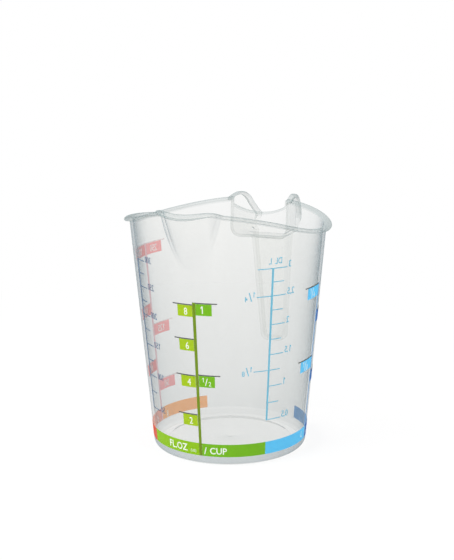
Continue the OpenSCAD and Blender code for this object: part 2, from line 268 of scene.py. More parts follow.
@dataclass(frozen=True)
class ClearPlastic:
    """Clear moulded polypropylene: see-through head on and milky where the wall is seen edge on.
    Its milky share's dark grey-blue is partly the frosted plastic's haze and partly painted shade
    for the darkening that refraction gives edge on.

    Attributes:
        name: The material's name.
        haze: Colour of the milky share, as display values: the frosted plastic's own haze, and in
            its dark grey-blue also painted shade for the darkening that refraction gives where the
            wall is seen edge on.
        tint: What one surface lets through, per colour.
        depth: How much one surface hides when seen head on, at the foot.
        thin_up: How much less it hides at the rim.
        tall: Height of the rim, in metres.
        foot: How much more the solid foot hides.
        foot_z: Heights between which the solid foot begins, in metres.
        foot_r: Radii between which it begins, in metres.
        spout: How much more the spout's wall hides.
        spout_r: Radii, less the wall's taper, between which the spout begins, in metres.
        flank: How much more the spout's thick flanks hide.
        flank_turn: Squares of the normal's sideways part between which the flanks begin.
        floor: How much less the cup's floor hides.
        inner: How much of the milkiness shows at the inner surface rather than the outer one.
        edge: How much milkier the wall is where it is seen edge on, towards the rim.
        edge_power: How closely that keeps to the edge-on view.
        slant: How fast it turns milky towards edge on at the foot, where 1 is as at the rim.
        glance: A little over 1, so that the edge-on view isn't endlessly deep.
        upper: Shares of the height between which the wall turns from foot to rim.
        streaks: Flow lines in each metre.
        streak_length: How many times longer than wide they are.
        streak_shade: How much of the haze's brightness they keep.
        flow: How much the milkiness varies along them.
        clouds: Small clouds in each metre.
        cloudy: How much the milkiness varies from cloud to cloud.
        grains: Grains of the surface in each metre.
        grain_strength: Strength of the grain.
        grain_depth: Its depth, in metres.
        rough: Roughness of the surface.
        rough_vary: How much rougher the clouds are.
        refraction: Index of refraction, for the gloss.
        gloss: Strength of the gloss.
    """

    name: str = "clear_polypropylene"
    # Partly the frosted haze, partly painted shade for the edge-on darkening from refraction.
    haze: tuple[float, float, float] = (115, 134, 143)
    tint: tuple[float, float, float] = (0.999, 0.998, 0.992)
    depth: float = 0.108
    thin_up: float = 0.08
    tall: float = 100 * MM
    foot: float = 10.0
    foot_z: tuple[float, float] = (4.2 * MM, 3.6 * MM)
    foot_r: tuple[float, float] = (30 * MM, 31.5 * MM)
    spout: float = 0.5
    spout_r: tuple[float, float] = (32.3 * MM, 33.0 * MM)
    flank: float = 7.0
    flank_turn: tuple[float, float] = (0.45, 0.85)
    floor: float = 0.5
    inner: float = 0.5
    edge: float = 1.3
    edge_power: float = 6.0
    slant: float = 0.6
    glance: float = 1.004
    upper: tuple[float, float] = (0.1, 0.8)
    streaks: float = 45.0
    streak_length: float = 4.0
    streak_shade: float = 0.93
    flow: float = 0.35
    clouds: float = 420.0
    cloudy: float = 0.12
    grains: float = 1500.0
    grain_strength: float = 0.12
    grain_depth: float = 0.05 * MM
    rough: float = 0.24
    rough_vary: float = 0.1
    refraction: float = 1.49
    gloss: float = 0.2

    @classmethod
    def even(
        cls, name: str, haze: tuple[float, float, float], depth: float
    ) -> "ClearPlastic":
        """The plastic of a part without a foot, a floor or a spout of its own.

        Args:
            name: The material's name.
            haze: Colour of the milky share, as display values, partly the plastic's haze and partly
                painted edge-on shade.
            depth: How much one surface hides when seen head on.

        Returns:
            A finish that is the same from foot to rim.
        """
        return cls(
            name, haze, depth=depth, thin_up=0.0, foot=0.0, spout=0.0, flank=0.0,
            floor=0.0, inner=0.0, edge=0.0, slant=1.0,
        )

    def hiding(self, nodes: Nodes, flow: Sock, cloud: Sock) -> Sock:
        """How much the surface hides when seen head on, from place to place.

        Args:
            nodes: The material's nodes.
            flow: The flow lines.
            cloud: The small clouds.

        Returns:
            The depth of its milkiness.
        """
        vary = 1 + self.flow * (flow - 0.5) + self.cloudy * (cloud - 0.5)
        depth = self.depth * vary - self.thin_up * (nodes.height() / self.tall)
        under, flat = nodes.underside(), nodes.flat()
        depth = depth * (1 - self.inner + 2 * self.inner * under)
        depth = depth * (1 - self.floor * flat)
        bulge = nodes.radius() - WALL.taper * nodes.height()
        # Painted shade: the spout's faces that turn sideways get extra milkiness, which paints a
        # grey band down its flanks.
        side = nodes.normal("X")
        more = self.spout + self.flank * nodes.ramp(side * side, *self.flank_turn)
        depth = depth * (1 + more * nodes.ramp(bulge, *self.spout_r))
        low = nodes.ramp(nodes.height(), *self.foot_z)
        wide = nodes.ramp(nodes.radius(), *self.foot_r)
        return depth * (1 + self.foot * low * wide * (1 - flat) * (1 - under))

    def milkiness(self, nodes: Nodes, depth: Sock) -> Sock:
        """The milky share of the surface, which grows as the view slants.

        Args:
            nodes: The material's nodes.
            depth: How much the surface hides when seen head on.

        Returns:
            The share, from 0 to 1.
        """
        facing = nodes.node("ShaderNodeLayerWeight", {}, {"Blend": 0.5}, out="Facing")
        upper = nodes.ramp(nodes.height() / self.tall, *self.upper)
        brim = self.edge * upper * facing**self.edge_power
        slant = (self.glance - facing) ** (self.slant + (1 - self.slant) * upper)
        return 1 - math.e ** (-(depth / slant + brim))

    def build(self) -> bpy.types.Material:
        """Makes the material."""
        material, nodes = new_material(self.name)
        flow = nodes.noise(self.streaks, detail=3.0, stretch=self.streak_length)
        cloud = nodes.noise(self.clouds)
        grain = nodes.noise(self.grains, detail=3.0)
        streak = [self.streak_shade * v for v in self.haze]
        # The base colour is the milky share's colour: partly the frosted plastic's haze, partly
        # painted shade for the darkening that refraction gives where the wall is seen edge on.
        body = nodes.node(
            "ShaderNodeBsdfPrincipled",
            {},
            {
                "Base Color": nodes.blend(flow, shade(self.haze), shade(streak)),
                "Roughness": self.rough + self.rough_vary * cloud,
                "IOR": self.refraction,
                "Specular IOR Level": self.gloss,
                "Normal": nodes.bump(grain, self.grain_strength, self.grain_depth),
            },
        )
        clear = nodes.node("ShaderNodeBsdfTransparent", {}, {"Color": (*self.tint, 1.0)})
        milky = self.milkiness(nodes, self.hiding(nodes, flow, cloud))
        mixed = nodes.node("ShaderNodeMixShader", {}, {0: milky, 1: clear, 2: body})
        nodes.node("ShaderNodeOutputMaterial", {}, {"Surface": mixed})
        return material


@dataclass(frozen=True)
class Ink:
    """A printed ink: an even colour with a fine grain that lets a little light through.

    Attributes:
        name: The material's name.
        colour: Display colour of the ink.
        thin: Share of light that comes straight through the layer.
        thin_grain: How many times that share comes through between the grains, and how much a grain
            takes from it.
        glow: Share of light that the layer scatters through to its other side.
        pale: How much paler its underside is: painted light, standing in for light from outside the
            cup that shines through the ink.
        open: How much more see-through its underside is.
        fade: Display colour towards which the ink varies.
        vary: How much it varies.
        grains: Grains of the ink in each metre.
        grain_strength: Strength of the grain.
        grain_depth: Its depth, in metres.
        clouds: Paler clouds in each metre.
        rough: Roughness of the surface.
        rough_vary: How much rougher the grains are.
        gloss: Strength of the gloss.
    """

    name: str
    colour: tuple[float, float, float]
    thin: float = 0.14
    thin_grain: tuple[float, float] = (1.2, 0.4)
    glow: float = 0.4
    pale: float = 0.6
    open: float = 0.45
    fade: tuple[float, float, float] = (255, 255, 255)
    vary: float = 0.08
    grains: float = 900.0
    grain_strength: float = 0.25
    grain_depth: float = 0.03 * MM
    clouds: float = 60.0
    rough: float = 0.42
    rough_vary: float = 0.15
    gloss: float = 0.35

    def build(self) -> bpy.types.Material:
        """Makes the material."""
        material, nodes = new_material(self.name)
        grain = nodes.noise(self.grains, detail=4.0)
        cloud = nodes.noise(self.clouds, detail=1.0)
        under = nodes.underside()
        tone = nodes.blend(
            self.vary * (grain + cloud), shade(self.colour), shade(self.fade)
        )
        # Painted light: the underside, seen from inside the cup, is painted paler for light from
        # outside that shines through the ink, and the clear share below takes that paler tint too.
        pale = [v + (255 - v) * self.pale for v in self.colour]
        body = nodes.node(
            "ShaderNodeBsdfPrincipled",
            {},
            {
                "Base Color": nodes.blend(under, tone, shade(pale)),
                "Roughness": self.rough + self.rough_vary * grain,
                "Specular IOR Level": self.gloss,
                "Normal": nodes.bump(grain, self.grain_strength, self.grain_depth),
            },
        )
        even = [c + (f - c) * self.vary for c, f in zip(self.colour, self.fade)]
        glow = nodes.node("ShaderNodeBsdfTranslucent", {}, {"Color": shade(even)})
        body = nodes.node("ShaderNodeMixShader", {}, {0: self.glow, 1: body, 2: glow})
        film = [math.sqrt(v) for v in shade(pale)]
        clear = nodes.node("ShaderNodeBsdfTransparent", {}, {"Color": film})
        most, less = self.thin_grain
        solid = (1 - self.thin * (most - less * grain)) * (1 - self.open * under)
        mixed = nodes.node("ShaderNodeMixShader", {}, {0: solid, 1: clear, 2: body})
        nodes.node("ShaderNodeOutputMaterial", {}, {"Surface": mixed})
        return material


class Finish(Enum):
    """The cup's finishes, by the name of the material slot that each one fills."""

    CLEAR = "clear_plastic"
    CLEAR_HANDLE = "clear_plastic handle"
    CLEAR_EDGE = "clear_plastic edge"
    FIGURE = "lime_ink figure"
    LIME = "lime_ink"
    LIME_BAND = "lime_ink band"
    GREEN = "green_ink"
    SKY = "sky_ink"
    BLUE = "blue_ink"
    STEM_BLUE = "stem_blue_ink"
    RED = "red_ink"
    RED_BAND = "red_ink band"
    ORANGE = "orange_ink"
    CORAL = "coral_ink"
    STEM_RED = "stem_red_ink"
    OLIVE = "olive_ink"
    DARK = "dark_ink"
    MAROON = "maroon_ink"
    RULER_BLUE = "ruler_blue_ink"
    RULER_GREY = "ruler_grey_ink"

    @property
    def slot(self) -> str:
        """The record's material slot."""
        return self.value.split()[0]


RECIPES: dict[Finish, ClearPlastic | Ink] = {
    Finish.CLEAR: ClearPlastic(),
    # The handle's and the rim edge's milky colours are likewise partly haze and partly painted
    # edge-on shade.
    Finish.CLEAR_HANDLE: ClearPlastic.even(
        "clear_polypropylene_thin", haze=(132, 152, 162), depth=0.022
    ),
    Finish.CLEAR_EDGE: ClearPlastic.even(
        "clear_polypropylene_edge", haze=(143, 160, 162), depth=0.17
    ),
    Finish.FIGURE: Ink("figure_print", (250, 252, 248), thin=0.3, open=0.5),
    Finish.LIME: Ink("lime_print", (174, 204, 12), fade=(206, 226, 60)),
    Finish.LIME_BAND: Ink("lime_band_print", (152, 200, 3), fade=(190, 226, 40)),
    Finish.GREEN: Ink("green_print", (128, 193, 12), fade=(155, 212, 62)),
    Finish.SKY: Ink("sky_print", (102, 207, 246), fade=(150, 226, 250)),
    # An ink's pale setting paints its underside paler, painted light for the light that shines
    # through it from outside.
    Finish.BLUE: Ink(
        "blue_print", (52, 118, 196), fade=(100, 160, 215), thin=0.45, glow=0.7,
        pale=0.42, open=0.85,
    ),
    Finish.STEM_BLUE: Ink("stem_blue_print", (112, 168, 216), thin=0.45),
    Finish.RED: Ink("red_print", (246, 84, 72), thin=0.6, glow=0.75, pale=0.5, open=0.85),
    Finish.RED_BAND: Ink(
        "red_band_print", (242, 88, 44), thin=0.5, glow=0.75, pale=0.6, open=0.85
    ),
    Finish.ORANGE: Ink(
        "orange_print", (255, 150, 62), thin=0.82, glow=0.85, pale=0.42, open=0.94
    ),
    Finish.CORAL: Ink("coral_print", (250, 112, 110), thin=0.65, glow=0.8, pale=0.52, open=0.9),
    Finish.STEM_RED: Ink("stem_red_print", (236, 170, 176), thin=0.7, glow=0.8, pale=0.5, open=0.9),
    Finish.OLIVE: Ink("olive_print", (124, 154, 20), fade=(160, 184, 60)),
    Finish.DARK: Ink("dark_print", (70, 76, 74), thin=0.08),
    Finish.MAROON: Ink("maroon_print", (206, 150, 148), thin=0.5, pale=0.8, open=0.9),
    Finish.RULER_BLUE: Ink("ruler_blue_print", (112, 196, 220)),
    Finish.RULER_GREY: Ink("ruler_grey_print", (98, 126, 158), thin=0.3, open=0.3, pale=0.3),
}


class Paints:
    """Every finish's material, made once and handed out by slot."""

    def __init__(self) -> None:
        """Builds all the materials."""
        self.made = {finish: recipe.build() for finish, recipe in RECIPES.items()}

    def dress(self, piece: bpy.types.Object, finish: Finish) -> None:
        """Gives a piece one finish all over."""
        piece.data.materials.clear()
        piece.data.materials.append(self.made[finish])


# ---- Mesh helpers ----------------------------------------------------------


def to_piece(
    mesh: bmesh.types.BMesh,
    name: str,
    finish: Finish,
    paints: Paints,
    sharp: float,
    second: Finish,
) -> bpy.types.Object:
    """Turns a finished mesh in millimetres into a named piece that rides on the cup.

    Args:
        mesh: The mesh, which is freed.
        name: The piece's name.
        finish: Its finish.
        paints: The materials.
        sharp: Edges that turn more than this many degrees stay crisp.
        second: Finish of the faces that were given material number 1.

    Returns:
        The new object, at the origin.
    """
    bmesh.ops.scale(mesh, vec=(MM, MM, MM), verts=mesh.verts)
    for face in mesh.faces:
        face.smooth = True
    for edge in mesh.edges:
        edge.smooth = edge.calc_face_angle(0.0) < math.radians(sharp)
    data = bpy.data.meshes.new(name)
    for each in (finish, second):
        data.materials.append(paints.made[each])
    mesh.to_mesh(data)
    mesh.free()
    piece = bpy.data.objects.new(name, data)
    bpy.context.scene.collection.objects.link(piece)
    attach(piece, "root")
    log.info("%s: %d faces", name, len(data.polygons))
    return piece


def chain(mesh: bmesh.types.BMesh, points: Iterable[Sequence[float]]) -> list:
    """Adds a chain of edges through the points.

    Args:
        mesh: Where it goes.
        points: Its corners in order.

    Returns:
        The new vertices and edges.
    """
    corners = [mesh.verts.new(p) for p in points]
    return corners + [mesh.edges.new(pair) for pair in zip(corners, corners[1:])]


def steps(low: float, high: float, count: int) -> list[float]:
    """count even values above low and up to high."""
    return [low + (high - low) * (i / count) for i in range(1, count + 1)]


# ---- Shape of the wall -----------------------------------------------------


@dataclass(frozen=True)
class Wall:
    """The cup's wall, its levels, its rim line and its spout, in millimetres and degrees.

    Angles run round from the spout, positive towards +X.

    Attributes:
        base_r: Outer radius of the plain wall at the table.
        taper: How much that radius grows with each millimetre of height.
        thick: Thickness of the wall.
        floor_z: Height of the floor inside.
        print_room: How far the outer surface stands back behind the printing.
        rim_low: Height of the rim's line at its lowest.
        rim_low_y: Where along the cup's length that is.
        front_r: Radius of the line in front of its lowest place.
        slope: Angle of its straight rise to the spout.
        back_r: Radius of the line behind its lowest place.
        lip_rise: Height of the spout's crest over the lowest place.
        lip_round: Radius of the line over the crest.
        lip_drop: Angle at which it falls in front of the crest.
        spout_h: Height of the spout.
        spout_lean: Lean of its keel.
        spout_foot_r: Radius of its leaning round bar at the foot.
        spout_lip_r: Radius of the bar at the crest.
        spout_side: Cosine of the angle past which the bar isn't looked for.
        crease: Distance over which the bar and the plain wall blend.
        dip_drop: How far the wall's top dips between the channel's sides.
        dip_r: Radius of that dip.
        mouth_half: Half its width.
    """

    base_r: float = 32.1
    taper: float = 0.089
    thick: float = 1.2
    floor_z: float = 3.5
    print_room: float = 0.03
    rim_low: float = 94.2
    rim_low_y: float = 5.0
    front_r: float = 90.0
    slope: float = 18.5
    back_r: float = 140.0
    lip_rise: float = 11.8
    lip_round: float = 10.0
    lip_drop: float = 40.0
    spout_h: float = 25.8
    spout_lean: float = 24.0
    spout_foot_r: float = 10.5
    spout_lip_r: float = 14.2
    spout_side: float = 0.6
    crease: float = 0.5
    dip_drop: float = 6.5
    dip_r: float = 23.6
    mouth_half: float = 12.2

    def outer(self, z: float) -> float:
        """Outer radius of the plain wall at a height."""
        return self.base_r + self.taper * z

    def level(self, ml: float) -> float:
        """Height of the liquid's surface when the cup holds this many millilitres."""
        floor_r = self.outer(self.floor_z) - self.thick
        growth = 3 * CUBIC_MM_PER_ML * self.taper * ml / math.pi
        top_r = (floor_r**3 + growth) ** (1 / 3)
        return self.floor_z + (top_r - floor_r) / self.taper

    @property
    def lip_z(self) -> float:
        """Height of the spout's crest."""
        return self.rim_low + self.lip_rise

    def rim(self, y: float) -> float:
        """Height of the rim's line.

        Args:
            y: Place along the cup's length, which grows towards the handle.

        Returns:
            The height there.
        """
        slope = math.radians(self.slope)
        turn_y = self.rim_low_y - self.front_r * math.sin(slope)
        if y >= self.rim_low_y:
            return self.rim_low + self.back_r - math.sqrt(
                self.back_r**2 - (y - self.rim_low_y) ** 2
            )
        if y >= turn_y:
            return self.rim_low + self.front_r - math.sqrt(
                self.front_r**2 - (y - self.rim_low_y) ** 2
            )
        turn_z = self.rim_low + self.front_r * (1 - math.cos(slope))
        lip_y = turn_y - (self.lip_z - turn_z) / math.tan(slope)
        crest_y = lip_y - self.lip_round * math.tan(slope / 2)
        crest_z = self.lip_z - self.lip_round
        if y >= crest_y + self.lip_round * math.sin(slope):
            return turn_z + (turn_y - y) * math.tan(slope)
        drop = math.radians(self.lip_drop)
        end_y = crest_y - self.lip_round * math.sin(drop)
        if y >= end_y:
            return crest_z + math.sqrt(self.lip_round**2 - (y - crest_y) ** 2)
        end_z = crest_z + self.lip_round * math.cos(drop)
        return end_z - (end_y - y) * math.tan(drop)

    def spout(self, angle: float, z: float, grow: float) -> float:
        """How far out the leaning round bar of the spout reaches.

        Args:
            angle: Direction from the cup's axis, in radians.
            z: Height.
            grow: Added to the bar's radius.

        Returns:
            The distance from the axis, or 0 where the bar isn't met.
        """
        foot_z = self.lip_z - self.spout_h
        keel = self.spout_h / math.cos(math.radians(self.spout_lean))
        widen = (self.spout_lip_r - self.spout_foot_r) / keel
        lean = math.radians(self.spout_lean) - math.atan(widen)
        along = Vector((0, -math.sin(lean), math.cos(lean)))
        side = Vector((0, math.cos(lean), math.sin(lean)))
        start = Vector((0, -self.outer(foot_z), foot_z))
        start += side * self.spout_foot_r - along * keel
        start_r = 2 * self.spout_foot_r - self.spout_lip_r + grow
        way = Vector((math.sin(angle), -math.cos(angle), 0))
        off = Vector((0, 0, z)) - start
        reach, pace = off.dot(along), way.dot(along)
        wide = start_r + widen * reach
        a = 1 - pace**2 - (widen * pace) ** 2
        b = off.dot(way) - reach * pace - widen * pace * wide
        c = off.length_squared - reach**2 - wide**2
        inside = b * b - a * c
        return (math.sqrt(inside) - b) / a if inside > 0 else 0.0

    def skin(self, angle: float, z: float, depth: float) -> float:
        """Radius of the wall's surface, spout included.

        Args:
            angle: Direction from the cup's axis, in radians.
            z: Height.
            depth: How deep in the wall, from 0 outside to its thickness inside.

        Returns:
            The radius, with the crease beside the spout softened.
        """
        cone = self.outer(z) - depth
        bar = self.spout(angle, z, -depth) if math.cos(angle) > self.spout_side else 0.0
        near = max(self.crease - abs(cone - bar), 0.0) / self.crease
        room = self.print_room * max(1 - depth, 0)
        return max(cone, bar) + near * near * self.crease / 4 - room

    def dip(self, x: float) -> float:
        """Height of the wall's top between the channel's sides."""
        low = self.rim(self.outer(self.rim_low)) - self.dip_drop
        return low + self.dip_r - math.sqrt(self.dip_r**2 - x * x)


WALL = Wall()


# ---- Cup -------------------------------------------------------------------


class Stretch(Enum):
    """Which stretch of the cup's section a row lies on, and so what its two numbers mean."""

    PLAIN = "radius and height"
    OUTSIDE = "share of the way up the outer wall"
    RIM = "distance outside the wall and height over the rim's line"
    INSIDE = "share of the way up the inner wall"


@dataclass
class Cup:
    """The cup's moulding, turned as one closed skin and then drawn up to its rim and spout.

    Attributes:
        paints: The materials.
        columns: Steps round the cup.
        foot_round: Radius of the foot's outer edge.
        foot_w: Width of the foot ring.
        floor_t: Thickness of the floor.
        inner_round: Radius between the floor and the wall inside.
        gate_r: Radius of the button that the mould's gate leaves under the floor.
        gate_h: Its height.
        flange_w: Width of the rim's flange.
        flange_t: Its thickness.
        flange_turn: Height of the turn from the wall to the flange's underside.
        lip_turn: Depth of the turn from the rim's top to the inner wall.
        mouth_round: Rounding of the wall's top between the channel's sides.
        mouth_t: Height that the flange's outline shrinks to there.
        mouth_edge: Depth of the part there that has the edge's finish.
        snap: How near a column is to the channel's side to be moved to it, in columns.
        snap_keep: Share of that distance that it keeps.
        sharp: Turn in degrees past which an edge stays crisp.
        start_up: Height over the rim's lowest place from which a rim point is looked for.
        rounds: Rounds in which its radius and height settle.
        under_r: Radius of the underside's middle ring of faces.
        floor_rings: Radii of the floor's rings of faces.
        turn_rows: Rows of a round of a right angle.
        low_rows: Rows up the lower part of the wall.
        high_rows: Rows up its upper part, where the spout is.
        high_from: Share of the height at which that begins.
        weld: Distance within which two points are one.
        rows: The section's rows, which section() lists.
    """

    paints: Paints
    columns: int = 480
    foot_round: float = 2.3
    foot_w: float = 3.0
    floor_t: float = 1.7
    inner_round: float = 2.5
    gate_r: float = 1.3
    gate_h: float = 0.4
    flange_w: float = 2.2
    flange_t: float = 1.5
    flange_turn: float = 0.45
    lip_turn: float = 0.6
    mouth_round: float = 0.1
    mouth_t: float = 0.4
    mouth_edge: float = 1.3
    snap: float = 0.7
    snap_keep: float = 0.08
    sharp: float = 50.0
    start_up: float = 4.0
    rounds: int = 5
    under_r: float = 12.0
    floor_rings: tuple[float, ...] = (20.0, 10.0, 0.0)
    turn_rows: int = 8
    low_rows: int = 10
    high_rows: int = 34
    high_from: float = 0.7
    weld: float = 0.002
    rows: list[tuple[Stretch, float, float]] = field(default_factory=list)

    @property
    def foot_r(self) -> float:
        """Radius of the foot's flat, where its outer round starts."""
        return WALL.outer(self.foot_round) - self.foot_round

    def under_line(self) -> list[tuple[float, float]]:
        """Radius and height of the underside's corners, from the gate to the foot ring."""
        under = WALL.floor_z - self.floor_t
        gate = under - self.gate_h
        ring_r = self.foot_r - self.foot_w
        return [
            (0, gate), (self.gate_r - 0.2, gate), (self.gate_r, gate + 0.1),
            (self.gate_r + 0.1, under - 0.1), (self.gate_r + 0.3, under),
            (self.under_r, under), (ring_r - 1.9, under), (ring_r - 1.6, under - 0.15),
            (ring_r - 0.2, 0.15), (ring_r + 0.1, 0), (self.foot_r - 0.4, 0),
        ]

    def flange_line(self) -> list[tuple[float, float]]:
        """Distance outside the wall and height over the rim's line, round the flange."""
        w, t = self.flange_w, self.flange_t
        return [
            (0.08, -t - 0.12), (0.35, -t), (w * 0.6, -t), (w - 0.4, -t + 0.02),
            (w - 0.14, -t + 0.12), (w, -t + 0.4), (w + 0.02, -0.95), (w - 0.04, -0.72),
            (w - 0.25, -0.48), (w - 0.7, -0.28), (w * 0.45, -0.12), (0.2, -0.02),
            (-0.35, 0), (-0.75, -0.02), (-1.02, -0.12), (-1.16, -0.32),
        ]

    def section(self) -> None:
        """Lists the section's rows, from the middle of the underside round to the floor."""
        self.rows = [(Stretch.PLAIN, r, z) for r, z in self.under_line()]
        turn = self.foot_round
        for i in range(self.turn_rows + 1):
            a = math.radians(-90 + 90 / self.turn_rows * i)
            self.rows.append(
                (Stretch.PLAIN, self.foot_r + turn * math.cos(a), turn + turn * math.sin(a))
            )
        shares = steps(0, self.high_from, self.low_rows)
        shares += steps(self.high_from, 1, self.high_rows)
        self.rows += [(Stretch.OUTSIDE, s, 0.0) for s in shares]
        self.rows += [(Stretch.RIM, out, up) for out, up in self.flange_line()]
        self.rows += [(Stretch.INSIDE, s, 0.0) for s in reversed([0.0] + shares)]
        corner_z = WALL.floor_z + self.inner_round
        corner_r = WALL.outer(corner_z) - WALL.thick - self.inner_round
        for i in range(1, self.turn_rows + 1):
            a = math.radians(-90 / self.turn_rows * i)
            r = corner_r + self.inner_round * math.cos(a)
            self.rows.append((Stretch.PLAIN, r, corner_z + self.inner_round * math.sin(a)))
        self.rows += [(Stretch.PLAIN, r, WALL.floor_z) for r in self.floor_rings]

    def mouth(self, angle: float) -> bool:
        """True between the sides of the handle's channel."""
        near = abs(math.sin(angle)) * WALL.outer(WALL.rim_low) < WALL.mouth_half
        return near and math.cos(angle) < 0

    def top(self, angle: float, out: float, up: float) -> tuple[float, float]:
        """Where a point of the rim's section is.

        Args:
            angle: Direction from the cup's axis, in radians.
            out: Distance outside the wall's outer surface.
            up: Height over the rim's line.

        Returns:
            Its radius and height.
        """
        open_here = self.mouth(angle)
        if open_here:
            inset = self.mouth_round if up > -2 * self.mouth_round else 0.0
            out, up = min(out, -inset), max(up, -self.mouth_t)
        r, z = 0.0, WALL.rim_low + self.start_up
        for _ in range(self.rounds):
            outer = WALL.skin(angle, z, 0)
            inner = WALL.skin(angle, z, WALL.thick)
            inward = max(-out, 0) / WALL.thick
            r = outer + (inner - outer) * inward + max(out, 0)
            if open_here:
                z = WALL.dip(r * math.sin(angle)) + up
            else:
                z = WALL.rim(-r * math.cos(angle)) + up
        return r, z

    def place(self, row: tuple[Stretch, float, float], angle: float) -> tuple[float, float]:
        """Where a row of the section is.

        Args:
            row: The row.
            angle: Direction from the cup's axis, in radians.

        Returns:
            Its radius and height.
        """
        stretch, first, second = row
        if stretch is Stretch.PLAIN:
            return first, second
        if stretch is Stretch.RIM:
            return self.top(angle, first, second)
        if stretch is Stretch.OUTSIDE:
            low, depth = self.foot_round, 0.0
            high = self.top(angle, 0.0, -self.flange_t - self.flange_turn)[1]
        else:
            low, depth = WALL.floor_z + self.inner_round, WALL.thick
            high = self.top(angle, -WALL.thick, -self.lip_turn)[1]
        z = low + (high - low) * first
        return WALL.skin(angle, z, depth), z

    def build(self) -> bpy.types.Object:
        """Turns the section, shapes every row and returns the finished moulding."""
        self.section()
        mesh = bmesh.new()
        row_of = mesh.verts.layers.int.new("row")
        flat = [self.place(row, math.pi / 2) for row in self.rows]
        line = chain(mesh, [(r, 0, z) for r, z in flat])
        for i in range(len(self.rows)):
            line[i][row_of] = i
        bmesh.ops.spin(
            mesh, geom=line, cent=(0, 0, 0), axis=(0, 0, 1), dvec=(0, 0, 0),
            angle=math.tau, steps=self.columns, use_merge=True,
            use_normal_flip=False, use_duplicate=False,
        )
        edge = math.pi - math.asin(WALL.mouth_half / WALL.outer(WALL.rim_low))
        snap = self.snap * math.tau / self.columns
        for v in mesh.verts:
            angle = math.atan2(v.co.x, -v.co.y)
            past = abs(angle) - edge
            if abs(past) < snap:
                angle = math.copysign(edge + past * self.snap_keep, angle)
            r, z = self.place(self.rows[v[row_of]], angle)
            v.co = (r * math.sin(angle), -r * math.cos(angle), z)
        bmesh.ops.remove_doubles(mesh, verts=mesh.verts, dist=self.weld)
        bmesh.ops.recalc_face_normals(mesh, faces=mesh.faces)
        for face in mesh.faces:
            at_rim = sum(self.rows[v[row_of]][0] is Stretch.RIM for v in face.verts) >= 2
            middle = face.calc_center_median()
            if self.mouth(math.atan2(middle.x, -middle.y)):
                at_rim = middle.z > WALL.dip(middle.x) - self.mouth_edge
            face.material_index = int(at_rim)
        piece = to_piece(
            mesh, "cup_moulding", Finish.CLEAR, self.paints, self.sharp, Finish.CLEAR_EDGE
        )
        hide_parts("cup_body")
        return piece


# ---- Handle ----------------------------------------------------------------


class Zone(Enum):
    """Which stretch of the handle's wall a ring of its mesh lies on."""

    TURN = "rounding between the plate and the wall"
    LOW = "wall up to the channel's shoulder"
    SHOULDER = "round corner under the channel's side"
    HIGH = "wall from the shoulder to the flange"
    EDGE = "flange and top edge"
    IN_HIGH = "inside, down to the shoulder"
    IN_SHOULDER = "inside of the round corner"
    IN_LOW = "inside, down to the plate"


@dataclass(frozen=True)
class Rib:
    """One line across the handle, from its plate up to its edge, seen from the side.

    Attributes:
        at: Its foot on the plate's outer side, y and z.
        way: Its direction up the wall, y and z.
        high: Its length up to the edge.
        slant: How much longer a thickness measured along it is than one square to the edge.
        flange: Width of the flange.
        turn: Radius of the rounding between plate and wall.
        corner: Angle round the grip's end, or 0 above it.
    """

    at: tuple[float, float]
    way: tuple[float, float]
    high: float
    slant: float
    flange: float
    turn: float
    corner: float = 0.0


